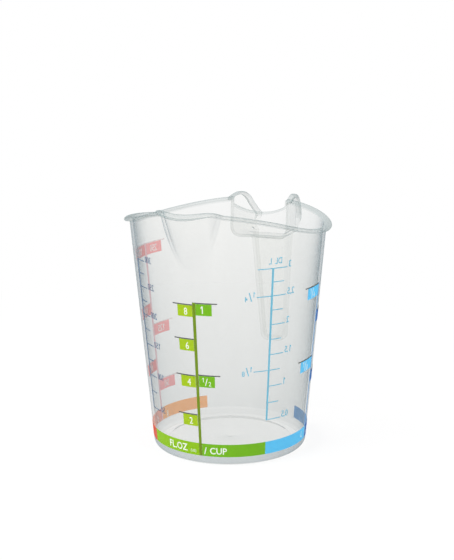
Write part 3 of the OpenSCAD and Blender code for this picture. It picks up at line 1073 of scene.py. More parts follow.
@dataclass
class Handle:
    """The hooked channel behind the cup and the grip that hangs from it, in millimetres.

    Attributes:
        paints: The materials.
        across: Columns across the plate.
        reach: How far the hook stands out behind the wall.
        depth: Height of the channel at the wall.
        root_w: Width of the channel at the wall.
        back_w: Width at the hook's back.
        thick: Thickness of its walls.
        flange_w: Width of its flange.
        flange_t: Thickness of the flange.
        flange_z: Height at which the flange begins.
        flange_grow: Height over which it grows to its width.
        flange_least: Width from which it has the edge's finish.
        edge_y: Where along the cup's length the edge's line begins.
        crest_r: Radius of the top, behind the rim's line.
        ear_r: Radius where the top turns down.
        ear_slope: Slope at which it falls, in degrees.
        tip_r: Radius of the hook's tip.
        tip_end: Slope at which the tip's round ends, in degrees.
        narrow_share: Share of the narrowing that is even along the hook.
        narrow_late: Power with which the rest comes late.
        gap: Gap between the cup and the grip at the bend.
        gap_low: Gap at the grip's end.
        grip_depth: Depth of the grip's channel.
        bend_r: Radius of the bend.
        bend_share: Share of the grip along which its edge still bends.
        grip_len: Height of the grip under the channel's floor.
        grip_half: Half its width at the bend.
        grip_end_half: Half its width at its end.
        grip_corner: Radius of the corners at its end.
        plate_turn: Radius between its plate and its walls.
        turn_grow: Angle of the bend over which that radius grows, in radians.
        sink: How far the channel reaches into the cup's wall.
        inner_top: How far under the edge the inner wall's plain rings end.
        sharp: Turn in degrees past which an edge stays crisp.
        edge_steps: Steps of the edge's line to the crest, and over it.
        ear_steps: Steps of the ear's round, and of the tip's.
        back_steps: Steps from the tip down to the grip.
        channel_ribs: Ribs along the channel's floor.
        bend_ribs: Ribs round the bend.
        grip_ribs: Ribs down the grip.
        corner_ribs: Ribs round a corner of its end.
        turn_rings: Rings of the rounding between plate and wall.
        low_rings: Rings up to the shoulder.
        shoulder_rings: Rings of the shoulder.
        high_rings: Rings from the shoulder to the flange.
        weld: Distance within which two points are one.
        sliver: Length under which an edge is dropped.
    """

    paints: Paints
    across: int = 16
    reach: float = 24.5
    depth: float = 18.1
    root_w: float = 27.0
    back_w: float = 18.4
    thick: float = 1.3
    flange_w: float = 1.4
    flange_t: float = 1.5
    flange_z: float = 84.9
    flange_grow: float = 1.6
    flange_least: float = 0.05
    edge_y: float = 36.0
    crest_r: float = 20.0
    ear_r: float = 15.2
    ear_slope: float = 45.0
    tip_r: float = 2.0
    tip_end: float = -30.0
    narrow_share: float = 0.7
    narrow_late: float = 8.0
    gap: float = 12.0
    gap_low: float = 20.1
    grip_depth: float = 6.4
    bend_r: float = 6.0
    bend_share: float = 0.12
    grip_len: float = 51.5
    grip_half: float = 8.9
    grip_end_half: float = 5.8
    grip_corner: float = 3.0
    plate_turn: float = 1.5
    turn_grow: float = 0.5
    sink: float = 0.06
    inner_top: float = 0.5
    sharp: float = 50.0
    edge_steps: int = 6
    ear_steps: int = 14
    back_steps: int = 9
    channel_ribs: int = 9
    bend_ribs: int = 54
    grip_ribs: int = 22
    corner_ribs: int = 8
    turn_rings: int = 6
    low_rings: int = 6
    shoulder_rings: int = 10
    high_rings: int = 10
    weld: float = 0.004
    sliver: float = 0.002

    def __post_init__(self) -> None:
        """Works out the places that follow from the sizes."""
        self.back_r = WALL.outer(WALL.rim_low)
        self.root_z = WALL.rim(self.back_r) - self.depth
        self.end_z = self.root_z - self.grip_len
        self.bend_y = WALL.outer(self.root_z) + self.gap - self.bend_r
        self.bend_z = self.root_z - self.bend_r
        self.low_y = WALL.outer(self.end_z) + self.gap_low
        self.shoulder = self.root_w / 2 - self.grip_half
        self.edge = self.edge_line()
        self.ribs = self.list_ribs()
        self.rings = self.list_rings()

    def plate_y(self, z: float) -> float:
        """Where the grip's outer side is at a height."""
        share = (self.bend_z - z) / (self.bend_z - self.end_z)
        return self.bend_y + self.bend_r + share * (
            self.low_y - self.bend_y - self.bend_r
        )

    def edge_line(self) -> list[tuple[float, float]]:
        """The upper and back edge of the walls, from the cup to the grip's end."""
        from_y = self.back_r + 1
        line = [(y, WALL.rim(y)) for y in steps(self.edge_y, from_y, self.edge_steps)]
        slope = math.asin((from_y - WALL.rim_low_y) / WALL.back_r)
        crest_y = from_y + self.crest_r * math.sin(slope)
        crest_z = WALL.rim(from_y) + self.crest_r * (1 - math.cos(slope))
        for a in steps(-slope, 0, self.edge_steps):
            line.append(
                (crest_y + self.crest_r * math.sin(a),
                 crest_z - self.crest_r * (1 - math.cos(a)))
            )
        fall, stop = math.radians(self.ear_slope), math.radians(90 - self.tip_end)
        for a in steps(0, fall, self.ear_steps)[1:]:
            line.append(
                (crest_y + self.ear_r * math.sin(a), crest_z - self.ear_r * (1 - math.cos(a)))
            )
        tip_y = self.back_r + self.reach - self.tip_r
        across = tip_y + self.tip_r * math.sin(fall) - line[-1][0]
        tip_z = line[-1][1] - across * math.tan(fall) - self.tip_r * math.cos(fall)
        for a in steps(fall, stop, self.ear_steps):
            line.append((tip_y + self.tip_r * math.sin(a), tip_z + self.tip_r * math.cos(a)))
        back_y = self.bend_y + self.bend_r + self.grip_depth
        start, bend = line[-1], (back_y, self.root_z)
        end = (self.low_y + self.grip_depth, self.end_z - 1)
        straight = self.lerp(bend, end, self.bend_share)
        for share in steps(0, 1, self.back_steps)[:-1]:
            a, b = (1 - share) ** 2, 2 * share * (1 - share)
            line.append(
                tuple(a * p + b * q + share**2 * r for p, q, r in zip(start, bend, straight))
            )
        return line + [straight, end]

    @staticmethod
    def lerp(a: Sequence[float], b: Sequence[float], t: float) -> tuple[float, ...]:
        """The point a share t of the way from a to b."""
        return tuple(p + (q - p) * t for p, q in zip(a, b))

    def rib(self, y: float, z: float, way: tuple[float, float], **more: float) -> Rib:
        """A rib from a foot up to the edge.

        Args:
            y: The foot's place along the cup's length.
            z: The foot's height.
            way: Its direction, y and z.
            **more: The rib's turn and corner.

        Returns:
            The rib.
        """
        for (y1, z1), (y2, z2) in zip(self.edge, self.edge[1:]):
            ey, ez = y2 - y1, z2 - z1
            cross = way[0] * ez - way[1] * ey
            if abs(cross) < 1e-9:
                continue
            far = ((y1 - y) * ez - (z1 - z) * ey) / cross
            part = ((y1 - y) * way[1] - (z1 - z) * way[0]) / cross
            if far > 0 and 0 <= part <= 1:
                square = abs(cross) / math.hypot(ey, ez)
                lip_z = z + way[1] * far
                fade = min(max((lip_z - self.flange_z) / self.flange_grow, 0), 1)
                flange = self.flange_w * fade * fade * (3 - 2 * fade)
                return Rib((y, z), way, far, 1 / max(square, 0.5), flange, **more)
        raise ValueError(f"no edge over {y:.1f}, {z:.1f}")

    def list_ribs(self) -> list[Rib]:
        """The ribs from the cup round the bend to the grip's end."""
        ribs = []
        start_y = WALL.outer(self.root_z)
        for y in [start_y] + steps(start_y, self.bend_y, self.channel_ribs):
            ribs.append(self.rib(y, self.root_z, (0, 1), turn=0.0))
        for a in steps(0, math.pi / 2, self.bend_ribs):
            way = (math.sin(a), math.cos(a))
            turn = self.plate_turn * min(a / self.turn_grow, 1)
            y, z = self.bend_y + self.bend_r * way[0], self.bend_z + self.bend_r * way[1]
            ribs.append(self.rib(y, z, way, turn=turn))
        last = self.end_z + self.grip_corner
        for z in steps(self.bend_z, last, self.grip_ribs):
            ribs.append(self.rib(self.plate_y(z), z, (1, 0), turn=self.plate_turn))
        for a in steps(0, math.pi / 2, self.corner_ribs):
            ribs.append(
                self.rib(self.plate_y(last), last, (1, 0), turn=self.plate_turn, corner=a)
            )
        return ribs

    def list_rings(self) -> list[tuple[Zone, float, float]]:
        """The rings from the plate's outer side over the wall's edge to its inner side."""
        low = [0.0] + steps(0, 1, self.low_rings)
        high = [0.0] + steps(0, 1, self.high_rings)
        shoulder = [
            1 - math.cos(math.radians(90 / self.shoulder_rings * i))
            for i in range(self.shoulder_rings + 1)
        ]
        rings = [
            (Zone.TURN, math.radians(90 / self.turn_rings * i), 0.0)
            for i in range(1, self.turn_rings + 1)
        ]
        rings += [(Zone.LOW, share, 0.0) for share in low[1:]]
        rings += [(Zone.SHOULDER, share, 0.0) for share in shoulder[1:]]
        rings += [(Zone.HIGH, share, 0.0) for share in high[1:]]
        t = self.flange_t
        for out, up in (
            (0.12, -t + 0.02), (0.75, -t + 0.05), (0.95, -t + 0.2), (1.0, -t + 0.5),
            (0.99, -0.6), (0.9, -0.3), (0.65, -0.1), (0.2, -0.01),
        ):
            rings.append((Zone.EDGE, -out, up))
        for deep, up in ((0.45, 0.0), (0.9, -0.05), (1.18, -0.22), (1.3, -0.5)):
            rings.append((Zone.EDGE, deep, up))
        rings += [(Zone.IN_HIGH, share, 0.0) for share in reversed(high[:-1])]
        rings += [(Zone.IN_SHOULDER, share, 0.0) for share in reversed(shoulder[:-1])]
        return rings + [(Zone.IN_LOW, share, 0.0) for share in reversed(low[:-1])]

    def half(self, y: float, z: float, inside: bool) -> float:
        """Half the width of the handle.

        Args:
            y: Place along the row.
            z: Height.
            inside: True for the hollow.

        Returns:
            The half width there.
        """
        inset = self.thick if inside else 0.0
        share = min(max((y - self.back_r) / self.reach, 0), 1)
        late = (1 - self.narrow_share) * share**self.narrow_late
        plan = self.root_w / 2 - (self.root_w - self.back_w) / 2 * (
            self.narrow_share * share + late
        )
        centre_z, turn = self.root_z + self.shoulder, self.shoulder - inset
        if z >= centre_z:
            front = self.root_w / 2 - inset
        elif z >= centre_z - turn:
            front = self.grip_half + math.sqrt(max(turn**2 - (centre_z - z) ** 2, 0))
        else:
            last = self.end_z + self.grip_corner
            share = min(max((self.root_z - z) / (self.root_z - last), 0), 1)
            front = self.grip_half + (self.grip_end_half - self.grip_half) * share
            front -= min(inset, max(self.root_z + inset - z, 0))
        return min(plan - inset, front)

    def spot(self, rib: Rib, side: float, inset: float, up: float, inside: bool) -> Vector:
        """A point of the handle.

        Args:
            rib: The line that it lies on.
            side: -1 and 1 for the two walls, or a share of the half width on the plate.
            inset: Distance inside the outline.
            up: Distance up the rib.
            inside: True for the hollow's surface.

        Returns:
            The point.
        """
        if rib.corner:
            turn = self.grip_corner - inset - (self.thick if inside else 0.0)
            flat = self.grip_end_half - self.grip_corner
            z = self.end_z + self.grip_corner - turn * math.sin(rib.corner)
            half = flat + turn * math.cos(rib.corner)
            return Vector((side * half, self.plate_y(z) + up, z))
        y, z = (foot + way * up for foot, way in zip(rib.at, rib.way))
        x = side * (self.half(y, z, inside) - inset)
        if y < self.bend_y and rib.way[1] == 1:
            share = (y - WALL.outer(self.root_z)) / (self.bend_y - WALL.outer(self.root_z))
            wall_y = math.sqrt(max(WALL.outer(z) ** 2 - x * x, 1.0)) - self.sink
            y = wall_y + (self.bend_y - wall_y) * share
        return Vector((x, y, z))

    def ring_spot(self, rib: Rib, side: float, ring: tuple[Zone, float, float]) -> Vector:
        """A point of one ring.

        Args:
            rib: The line that it lies on.
            side: Which wall, or a share of the end's flat.
            ring: The ring.

        Returns:
            The point.
        """
        zone, first, second = ring
        rise = max(rib.way[1], 1e-6)
        if zone is Zone.TURN:
            return self.spot(
                rib, side, rib.turn * (1 - math.sin(first)),
                rib.turn * (1 - math.cos(first)), False,
            )
        if zone is Zone.EDGE:
            out = -first * rib.flange if first < 0 else -first
            up = rib.high + second * rib.slant
            inside = first > self.thick - 0.01
            return self.spot(rib, side, 0.0 if inside else -out, up, inside)
        inside = zone in (Zone.IN_HIGH, Zone.IN_SHOULDER, Zone.IN_LOW)
        top = rib.high - (self.inner_top if inside else self.flange_t) * rib.slant
        foot = self.thick if inside else rib.turn
        low = self.root_z + (self.thick if inside else 0)
        middle = min(max((low - rib.at[1]) / rise, foot), top)
        upper = min(max((self.root_z + self.shoulder - rib.at[1]) / rise, middle), top)
        span = {
            Zone.LOW: (foot, middle), Zone.IN_LOW: (foot, middle),
            Zone.SHOULDER: (middle, upper), Zone.IN_SHOULDER: (middle, upper),
            Zone.HIGH: (upper, top), Zone.IN_HIGH: (upper, top),
        }[zone]
        return self.spot(rib, side, 0.0, span[0] + (span[1] - span[0]) * first, inside)

    def plate(self, mesh: bmesh.types.BMesh, inside: bool) -> list[bmesh.types.BMVert]:
        """Adds the channel's floor and the grip's plate as one grid.

        Args:
            mesh: Where it goes.
            inside: True for the hollow's side.

        Returns:
            Its vertices.
        """
        column = mesh.verts.layers.int["column"]
        row = mesh.verts.layers.int["row"]
        count = len(self.ribs) - 1
        made = bmesh.ops.create_grid(mesh, x_segments=self.across, y_segments=count, size=0.5)
        for v in made["verts"]:
            v[column] = round((v.co.x + 0.5) * self.across)
            v[row] = round((v.co.y + 0.5) * count)
            side = v[column] * 2 / self.across - 1
            rib = self.ribs[v[row]]
            turn = 0.0 if inside else rib.turn
            v.co = self.spot(rib, side, turn, self.thick if inside else 0.0, inside)
        return made["verts"]

    def build(self) -> bpy.types.Object:
        """Draws the walls up from the plate's outline and closes them over the hollow."""
        mesh = bmesh.new()
        column = mesh.verts.layers.int.new("column")
        row = mesh.verts.layers.int.new("row")
        edge = mesh.verts.layers.int.new("edge")
        self.plate(mesh, False)
        rim = [
            e for e in mesh.edges
            if len(e.link_faces) == 1 and not all(v[row] == 0 for v in e.verts)
        ]
        for ring in self.rings:
            made = bmesh.ops.extrude_edge_only(mesh, edges=rim)["geom"]
            rim = [g for g in made if isinstance(g, bmesh.types.BMEdge)]
            drawn = {v for g in rim for v in g.verts}
            rim = [e for e in rim if all(v in drawn for v in e.verts)]
            for v in (g for g in made if isinstance(g, bmesh.types.BMVert)):
                side = v[column] * 2 / self.across - 1
                rib = self.ribs[v[row]]
                v.co = self.ring_spot(rib, side, ring)
                v[edge] = int(ring[0] is Zone.EDGE and rib.flange > self.flange_least)
        self.plate(mesh, True)
        bmesh.ops.remove_doubles(mesh, verts=mesh.verts, dist=self.weld)
        bmesh.ops.dissolve_degenerate(mesh, dist=self.sliver, edges=mesh.edges)
        open_edges = [e for e in mesh.edges if len(e.link_faces) == 1]
        filled = bmesh.ops.triangle_fill(
            mesh, use_beauty=True, use_dissolve=False, edges=open_edges, normal=(0, -1, 0)
        )["geom"]
        bmesh.ops.recalc_face_normals(mesh, faces=mesh.faces)
        for face in mesh.faces:
            face.material_index = int(face in filled or all(v[edge] for v in face.verts))
        piece = to_piece(
            mesh, "handle_moulding", Finish.CLEAR_HANDLE, self.paints, self.sharp,
            Finish.CLEAR_EDGE,
        )
        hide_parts("handle")
        return piece


# ---- Printing --------------------------------------------------------------


@dataclass(frozen=True)
class Mark:
    """Figures or a unit's letters in a plain typeface.

    Attributes:
        text: What they say.
        at: Place of their middle, along the wall and up, in millimetres.
        height: Height of a capital.
        width: How many times wider than the typeface they are.
        flip: True where they are read from inside the cup.
        bold: Growth of the strokes, for a size of 1.
        capital: Height of the typeface's capitals, for a size of 1.
        bar_w: Width of the bar of a 1, for a size of 1.
        head_w: How far the slanted stroke of a 1 stands out, for a size of 1.
        head_h: Its height at the bar.
        head_drop: How much lower its tip is.
        near: Distance within which a point counts as on the bar's left side.
    """

    text: str
    at: tuple[float, float]
    height: float = 2.9
    width: float = 0.82
    flip: bool = False
    bold: float = 0.006
    capital: float = 0.73
    bar_w: float = 0.13
    head_w: float = 0.12
    head_h: float = 0.15
    head_drop: float = 0.1
    near: float = 0.001

    def outline(self) -> bmesh.types.BMesh:
        """The figures as flat faces in their place."""
        curve = bpy.data.curves.new("mark", "FONT")
        curve.body, curve.size, curve.resolution_u = self.text, 1.0, 3
        curve.offset = self.bold
        curve.align_x, curve.align_y = "CENTER", "BOTTOM_BASELINE"
        holder = bpy.data.objects.new("mark", curve)
        flat = bpy.data.meshes.new_from_object(holder)
        mesh = bmesh.new()
        mesh.from_mesh(flat)
        bpy.data.objects.remove(holder)
        bpy.data.curves.remove(curve)
        bpy.data.meshes.remove(flat)
        bmesh.ops.remove_doubles(mesh, verts=mesh.verts, dist=WELD)
        if self.text[0] == "1":
            self.head(mesh)
        size = self.height / self.capital
        across = size * self.width * (-1 if self.flip else 1)
        middle = sum(f(v.co.x for v in mesh.verts) for f in (min, max)) / 2
        bmesh.ops.translate(mesh, vec=(-middle, -self.capital / 2, 0), verts=mesh.verts)
        bmesh.ops.scale(mesh, vec=(across, size, 1), verts=mesh.verts)
        bmesh.ops.translate(mesh, vec=(*self.at, 0), verts=mesh.verts)
        return mesh

    def head(self, mesh: bmesh.types.BMesh) -> None:
        """Gives the plain bar of a leading 1 the short slanted stroke at its head.

        Args:
            mesh: The figures at size 1, which are changed.
        """
        left = min(v.co.x for v in mesh.verts)
        bar = [v for v in mesh.verts if v.co.x < left + self.bar_w]
        top = max(v.co.y for v in bar)
        edges = {e for v in bar for e in v.link_edges}
        faces = {f for v in bar for f in v.link_faces}
        bmesh.ops.bisect_plane(
            mesh, geom=[*bar, *edges, *faces], dist=CUT_SLACK,
            plane_co=(0, top - self.head_h, 0), plane_no=(0, 1, 0),
        )
        right, low = left + self.near, top - self.head_h - self.near
        side = [
            e for e in mesh.edges
            if all(v.co.x < right and v.co.y > low for v in e.verts)
        ]
        made = bmesh.ops.extrude_edge_only(mesh, edges=side)["geom"]
        tip = [v for v in made if isinstance(v, bmesh.types.BMVert)]
        bmesh.ops.translate(mesh, vec=(-self.head_w, -self.head_drop, 0), verts=tip)


def fraction(
    over: str, under: str, at: tuple[float, float], flip: bool = False, size: float = 1.0
) -> list[Mark]:
    """A fraction with a raised and a lowered figure.

    Args:
        over: The figure above.
        under: The figure below.
        at: Its middle.
        flip: True where it is read from inside the cup.
        size: How many times larger than on a flag it is.

    Returns:
        Its three marks.
    """
    x, z = at
    way = -size if flip else size
    up, figure_h, bar_h = 0.75 * size, 1.95 * size, 3.2 * size
    return [
        Mark(over, (x - 1.35 * way, z + up), figure_h, 0.85, flip),
        Mark("/", (x, z), bar_h, 1.0, flip),
        Mark(under, (x + 1.4 * way, z - up), figure_h, 0.85, flip),
    ]


@dataclass(frozen=True)
class Patch:
    """A printed rectangle on the wall, with figures in it.

    Attributes:
        low: Its lower edge's height.
        high: Its upper edge's height.
        start: Its left edge, along the wall from the scale's angle.
        end: Its right edge.
        marks: The figures, placed along the wall and up from the rectangle's middle.
    """

    low: float
    high: float
    start: float
    end: float
    marks: tuple[Mark, ...] = ()


@dataclass
class Film:
    """A printed layer wrapped round the wall.

    Attributes:
        paints: The materials.
        name: The piece's name.
        angle: The angle that it is drawn from, in degrees.
        finish: Its ink.
        node: The CAD node that it stands for, or an empty name.
        patches: Its rectangles.
        marks: Its figures printed on their own.
        ink: Thickness of the layer.
        strip: Width of the flat strips that follow the wall's curve.
        sharp: Turn in degrees past which an edge stays crisp.
    """

    paints: Paints
    name: str
    angle: float
    finish: Finish
    node: str = ""
    patches: Sequence[Patch] = ()
    marks: Sequence[Mark] = ()
    ink: float = 0.1
    strip: float = 1.0
    sharp: float = 30.0

    def cut_out(self, patch: Patch) -> bmesh.types.BMesh:
        """Draws a flat rectangle with its figures as faces of their own ink.

        Args:
            patch: The rectangle.

        Returns:
            The drawing, along the wall and up.
        """
        mesh, figures = bmesh.new(), bmesh.new()
        middle = ((patch.start + patch.end) / 2, (patch.low + patch.high) / 2)
        for mark in patch.marks:
            figure = mark.outline()
            bmesh.ops.translate(figure, vec=(*middle, 0), verts=figure.verts)
            for face in figure.faces:
                face.material_index = 1
            self.pour(figure.copy(), figures)
            inner = [e for e in figure.edges if len(e.link_faces) != 1]
            bmesh.ops.delete(figure, geom=figure.faces, context="FACES_ONLY")
            bmesh.ops.delete(figure, geom=inner, context="EDGES")
            self.pour(figure, mesh)
        corners = [
            mesh.verts.new((x, z, 0))
            for x, z in (
                (patch.start, patch.low), (patch.end, patch.low),
                (patch.end, patch.high), (patch.start, patch.high),
            )
        ]
        for first, second in zip(corners, corners[1:] + corners[:1]):
            mesh.edges.new((first, second))
        bmesh.ops.triangle_fill(
            mesh, use_beauty=True, use_dissolve=False, edges=mesh.edges, normal=(0, 0, 1)
        )
        self.pour(figures, mesh)
        bmesh.ops.remove_doubles(mesh, verts=mesh.verts, dist=WELD)
        return mesh

    @staticmethod
    def pour(source: bmesh.types.BMesh, target: bmesh.types.BMesh) -> None:
        """Moves one mesh's contents into another."""
        carrier = bpy.data.meshes.new("carrier")
        source.to_mesh(carrier)
        source.free()
        target.from_mesh(carrier)
        bpy.data.meshes.remove(carrier)

    def wrap(self, mesh: bmesh.types.BMesh, true_z: float) -> None:
        """Cuts a flat drawing into strips, wraps it round the wall and gives it its thickness.

        Args:
            mesh: The drawing, along the wall and up.
            true_z: Height at which its lengths are true.
        """
        low, high = (f(v.co.x for v in mesh.verts) for f in (min, max))
        count = math.ceil((high - low) / self.strip)
        for i in range(1, count):
            bmesh.ops.bisect_plane(
                mesh, geom=[*mesh.verts, *mesh.edges, *mesh.faces], dist=CUT_SLACK,
                plane_co=(low + (high - low) * i / count, 0, 0), plane_no=(1, 0, 0),
            )
        for v in mesh.verts:
            turn = math.radians(self.angle) + v.co.x / WALL.outer(true_z)
            r, z = WALL.outer(v.co.y), v.co.y
            v.co = (r * math.sin(turn), -r * math.cos(turn), z)
        bmesh.ops.remove_doubles(mesh, verts=mesh.verts, dist=WELD)
        bmesh.ops.recalc_face_normals(mesh, faces=mesh.faces)
        for face in mesh.faces:
            face.normal_update()
            if face.normal.dot(face.calc_center_median() * Vector((1, 1, 0))) < 0:
                face.normal_flip()
        bmesh.ops.solidify(mesh, geom=mesh.faces, thickness=-self.ink)
        bmesh.ops.reverse_faces(mesh, faces=mesh.faces)

    def build(self) -> bpy.types.Object:
        """Makes the layer."""
        whole = bmesh.new()
        for patch in self.patches:
            flat = self.cut_out(patch)
            self.wrap(flat, patch.high)
            self.pour(flat, whole)
        for mark in self.marks:
            flat = mark.outline()
            self.wrap(flat, mark.at[1])
            self.pour(flat, whole)
        piece = to_piece(
            whole, self.name, self.finish, self.paints, self.sharp, Finish.FIGURE
        )
        if self.node:
            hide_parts(self.node)
        return piece


@dataclass
class Printing:
    """All the printed layers: bands and flags with their figures, and the rulers' figures.

    Attributes:
        paints: The materials.
        band_z: Height of the colour band's lower edge.
        band_h: Height of the band.
        flag_h: Height of a flag.
        flag_w: Width of a flag with one figure.
        wide_flag_w: Width of a flag with a longer number.
        line_t: Thickness of a level line.
        stem_half: Half the width of a stem.
        gap: Gap between two inks.
        heavy: Growth of the strokes of the green bands' letters, for a size of 1.
        ounce: Millilitres in an ounce.
        cup_measure: Millilitres in a cup.
        litre: Millilitres in a litre.
        full: Millilitres at the highest level.
        flour: Grams of flour in a millilitre.
        sugar: Grams of sugar in a millilitre.
        ruler_angle: Angle between a scale and the ruler beside it, in degrees.
        ruler_tick: Length of a ruler's long tick.
        ruler_gap: Gap between the long tick and its figures.
    """

    paints: Paints
    band_z: float = 3.9
    band_h: float = 5.4
    flag_h: float = 4.7
    flag_w: float = 6.6
    wide_flag_w: float = 10.6
    line_t: float = 0.45
    stem_half: float = 0.65
    gap: float = 0.05
    heavy: float = 0.014
    ounce: float = 29.57
    cup_measure: float = 240.0
    litre: float = 1000.0
    full: float = 300.0
    flour: float = 0.53
    sugar: float = 0.83
    ruler_angle: float = 47.0
    ruler_tick: float = 6.0
    ruler_gap: float = 0.6

    def flag(self, ml: float, side: int, marks: Sequence[Mark], wide: bool = False) -> Patch:
        """A flag under its level.

        Args:
            ml: The volume that it marks.
            side: 1 towards larger angles, -1 towards smaller ones.
            marks: Its figures.
            wide: True for a flag with a longer number.

        Returns:
            The patch.
        """
        top = WALL.level(ml) - self.line_t - self.gap
        near = self.stem_half + self.gap
        far = near + (self.wide_flag_w if wide else self.flag_w)
        low, high = sorted((side * near, side * far))
        return Patch(top - self.flag_h, top, low, high, tuple(marks))

    def band(self, name: str, start: float, finish: Finish, marks: Sequence[Mark]) -> Film:
        """A stretch of the colour band, half a scale long.

        Args:
            name: The CAD node that it stands for.
            start: The angle where it starts, in degrees.
            finish: Its ink.
            marks: Its unit's letters, placed from the band's middle.

        Returns:
            The film.
        """
        high = self.band_z + self.band_h
        length = math.radians(self.ruler_angle) * WALL.outer(high)
        stem_first = round(start / self.ruler_angle) % 2 == 0
        low = self.gap / 2 + stem_first * self.stem_half
        end = length - self.gap / 2 - (not stem_first) * self.stem_half
        patch = Patch(self.band_z, high, low, end, tuple(marks))
        return Film(self.paints, f"{name}_print", start, finish, name, (patch,))

    def bands(self) -> list[Film]:
        """The six stretches of the band."""
        half = self.ruler_angle
        return [
            self.band("sugar_band", -3 * half, Finish.ORANGE, (Mark("g", (9.3, 0)),)),
            self.band("flour_band", -2 * half, Finish.RED_BAND, (Mark("g", (-9.3, 0)),)),
            self.band(
                "ounce_band", -half, Finish.LIME_BAND,
                (Mark("FL.OZ", (2.9, 0.1), 3.1, 0.88, bold=self.heavy),
                 Mark("(US)", (10.5, -0.8), 1.2, 0.9)),
            ),
            self.band(
                "cup_band", 0.0, Finish.GREEN,
                (Mark("/", (-11.8, -0.2), 3.1, 0.9, bold=self.heavy),
                 Mark("CUP", (-6.4, -0.1), 2.9, 0.92, bold=self.heavy)),
            ),
            self.band("litre_band", half, Finish.SKY, (Mark("L", (9.6, 0.4)),)),
            self.band("decilitre_band", 2 * half, Finish.BLUE, (Mark("DL", (-8.9, 0)),)),
        ]

    def stem_feet(self) -> list[Film]:
        """The stems' lower ends, which cross the colour band."""
        half = self.stem_half - self.gap / 2
        patch = Patch(self.band_z, self.band_z + self.band_h, -half, half)
        return [
            Film(self.paints, f"{name}_foot", angle, finish, patches=(patch,))
            for name, angle, finish in (
                ("ounce_cup_stem", 0.0, Finish.OLIVE),
                ("litre_stem", 2 * self.ruler_angle, Finish.STEM_BLUE),
                ("gram_stem", -2 * self.ruler_angle, Finish.STEM_RED),
            )
        ]

    def flags(self) -> list[Film]:
        """The flags of the three scales."""
        ounce = [
            self.flag(n * self.ounce, -1, (Mark(str(n), (0.35, -0.1), 3.0),))
            for n in (2, 4, 6, 8)
        ]
        cup = [
            self.flag(self.cup_measure / 2, 1, fraction("1", "2", (-0.2, 0))),
            self.flag(self.cup_measure, 1, (Mark("1", (-0.7, 0.1), 3.2),)),
        ]
        litre = [
            self.flag(self.litre / n, -1, fraction("1", str(n), (-1.4, 0), size=1.25), wide=True)
            for n in (8, 4)
        ]
        decilitre = [self.flag(100 * n, 1, (Mark(str(n), (0, 0)),)) for n in (1, 2)]
        flour = [
            self.flag(ml, 1, (Mark(figures, (0, 0)),), wide=True)
            for ml, figures in (
                (50 / self.flour, "50"), (100 / self.flour, "100"), (self.full, "160"),
            )
        ]
        sugar = [
            self.flag(ml, -1, (Mark(figures, (0, 0)),), wide=True)
            for ml, figures in (
                (50 / self.sugar, "50"), (125 / self.sugar, "125"), (self.full, "250"),
            )
        ]
        blue, red = 2 * self.ruler_angle, -2 * self.ruler_angle
        return [
            Film(self.paints, f"{node}_print", angle, finish, node, patches)
            for node, angle, finish, patches in (
                ("ounce_flags", 0.0, Finish.LIME, ounce),
                ("cup_flags", 0.0, Finish.GREEN, cup),
                ("litre_flags", blue, Finish.SKY, litre),
                ("decilitre_flags", blue, Finish.BLUE, decilitre),
                ("flour_flags", red, Finish.RED, flour),
                ("sugar_flags", red, Finish.CORAL, sugar),
            )
        ]

    def ruler_figures(self) -> list[Film]:
        """The rulers' figures, which are read through the cup from its other side."""
        end = self.ruler_tick + self.ruler_gap
        decilitres = [
            Mark(figures, (end + wide, WALL.level(ml) + 1.1), 2.8, 0.8, True)
            for ml, figures, wide in (
                (50, "0,5", 2.3), (100, "1", 1.2), (150, "1,5", 2.3),
                (200, "2", 1.4), (250, "2,5", 2.3), (300, "3", 1.2),
            )
        ]
        for parts in (8, 4):
            z = WALL.level(self.litre / parts) + 0.2
            decilitres += fraction("1", str(parts), (-end - 2.4, z), True, 1.15)
        top = WALL.level(self.full) + 2.9
        decilitres += [
            Mark("L", (-1.4, top), 2.6, 0.75, True),
            Mark("DL", (2.3, top), 2.6, 0.75, True),
        ]
        millilitres = [
            Mark(str(ml), (end + (2.0 if ml < 100 else 2.9), WALL.level(ml) + 0.9),
                 2.8, 0.75, True, 0.0)
            for ml in range(50, 301, 50)
        ]
        return [
            Film(self.paints, "decilitre_figures", self.ruler_angle,
                 Finish.RULER_BLUE, marks=decilitres),
            Film(self.paints, "millilitre_figures", -self.ruler_angle,
                 Finish.RULER_GREY, marks=millilitres),
        ]

    def build(self) -> None:
        """Makes every layer."""
        for film in self.bands() + self.stem_feet() + self.flags() + self.ruler_figures():
            film.build()


# ---- Pieces kept from the frame --------------------------------------------

KEPT: dict[str, Finish] = {
    "ounce_cup_stem": Finish.OLIVE,
    "ounce_cup_lines": Finish.DARK,
    "litre_stem": Finish.STEM_BLUE,
    "litre_lines": Finish.DARK,
    "gram_stem": Finish.STEM_RED,
    "gram_lines": Finish.MAROON,
    "decilitre_ruler": Finish.RULER_BLUE,
    "millilitre_ruler": Finish.RULER_GREY,
}


def dress_kept(paints: Paints) -> None:
    """Gives each kept node its finish."""
    for name, finish in KEPT.items():
        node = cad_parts[name]
        paints.dress(node, finish)
        log.info("%s: kept, %s", name, finish.slot)


# ---- Room ------------------------------------------------------------------


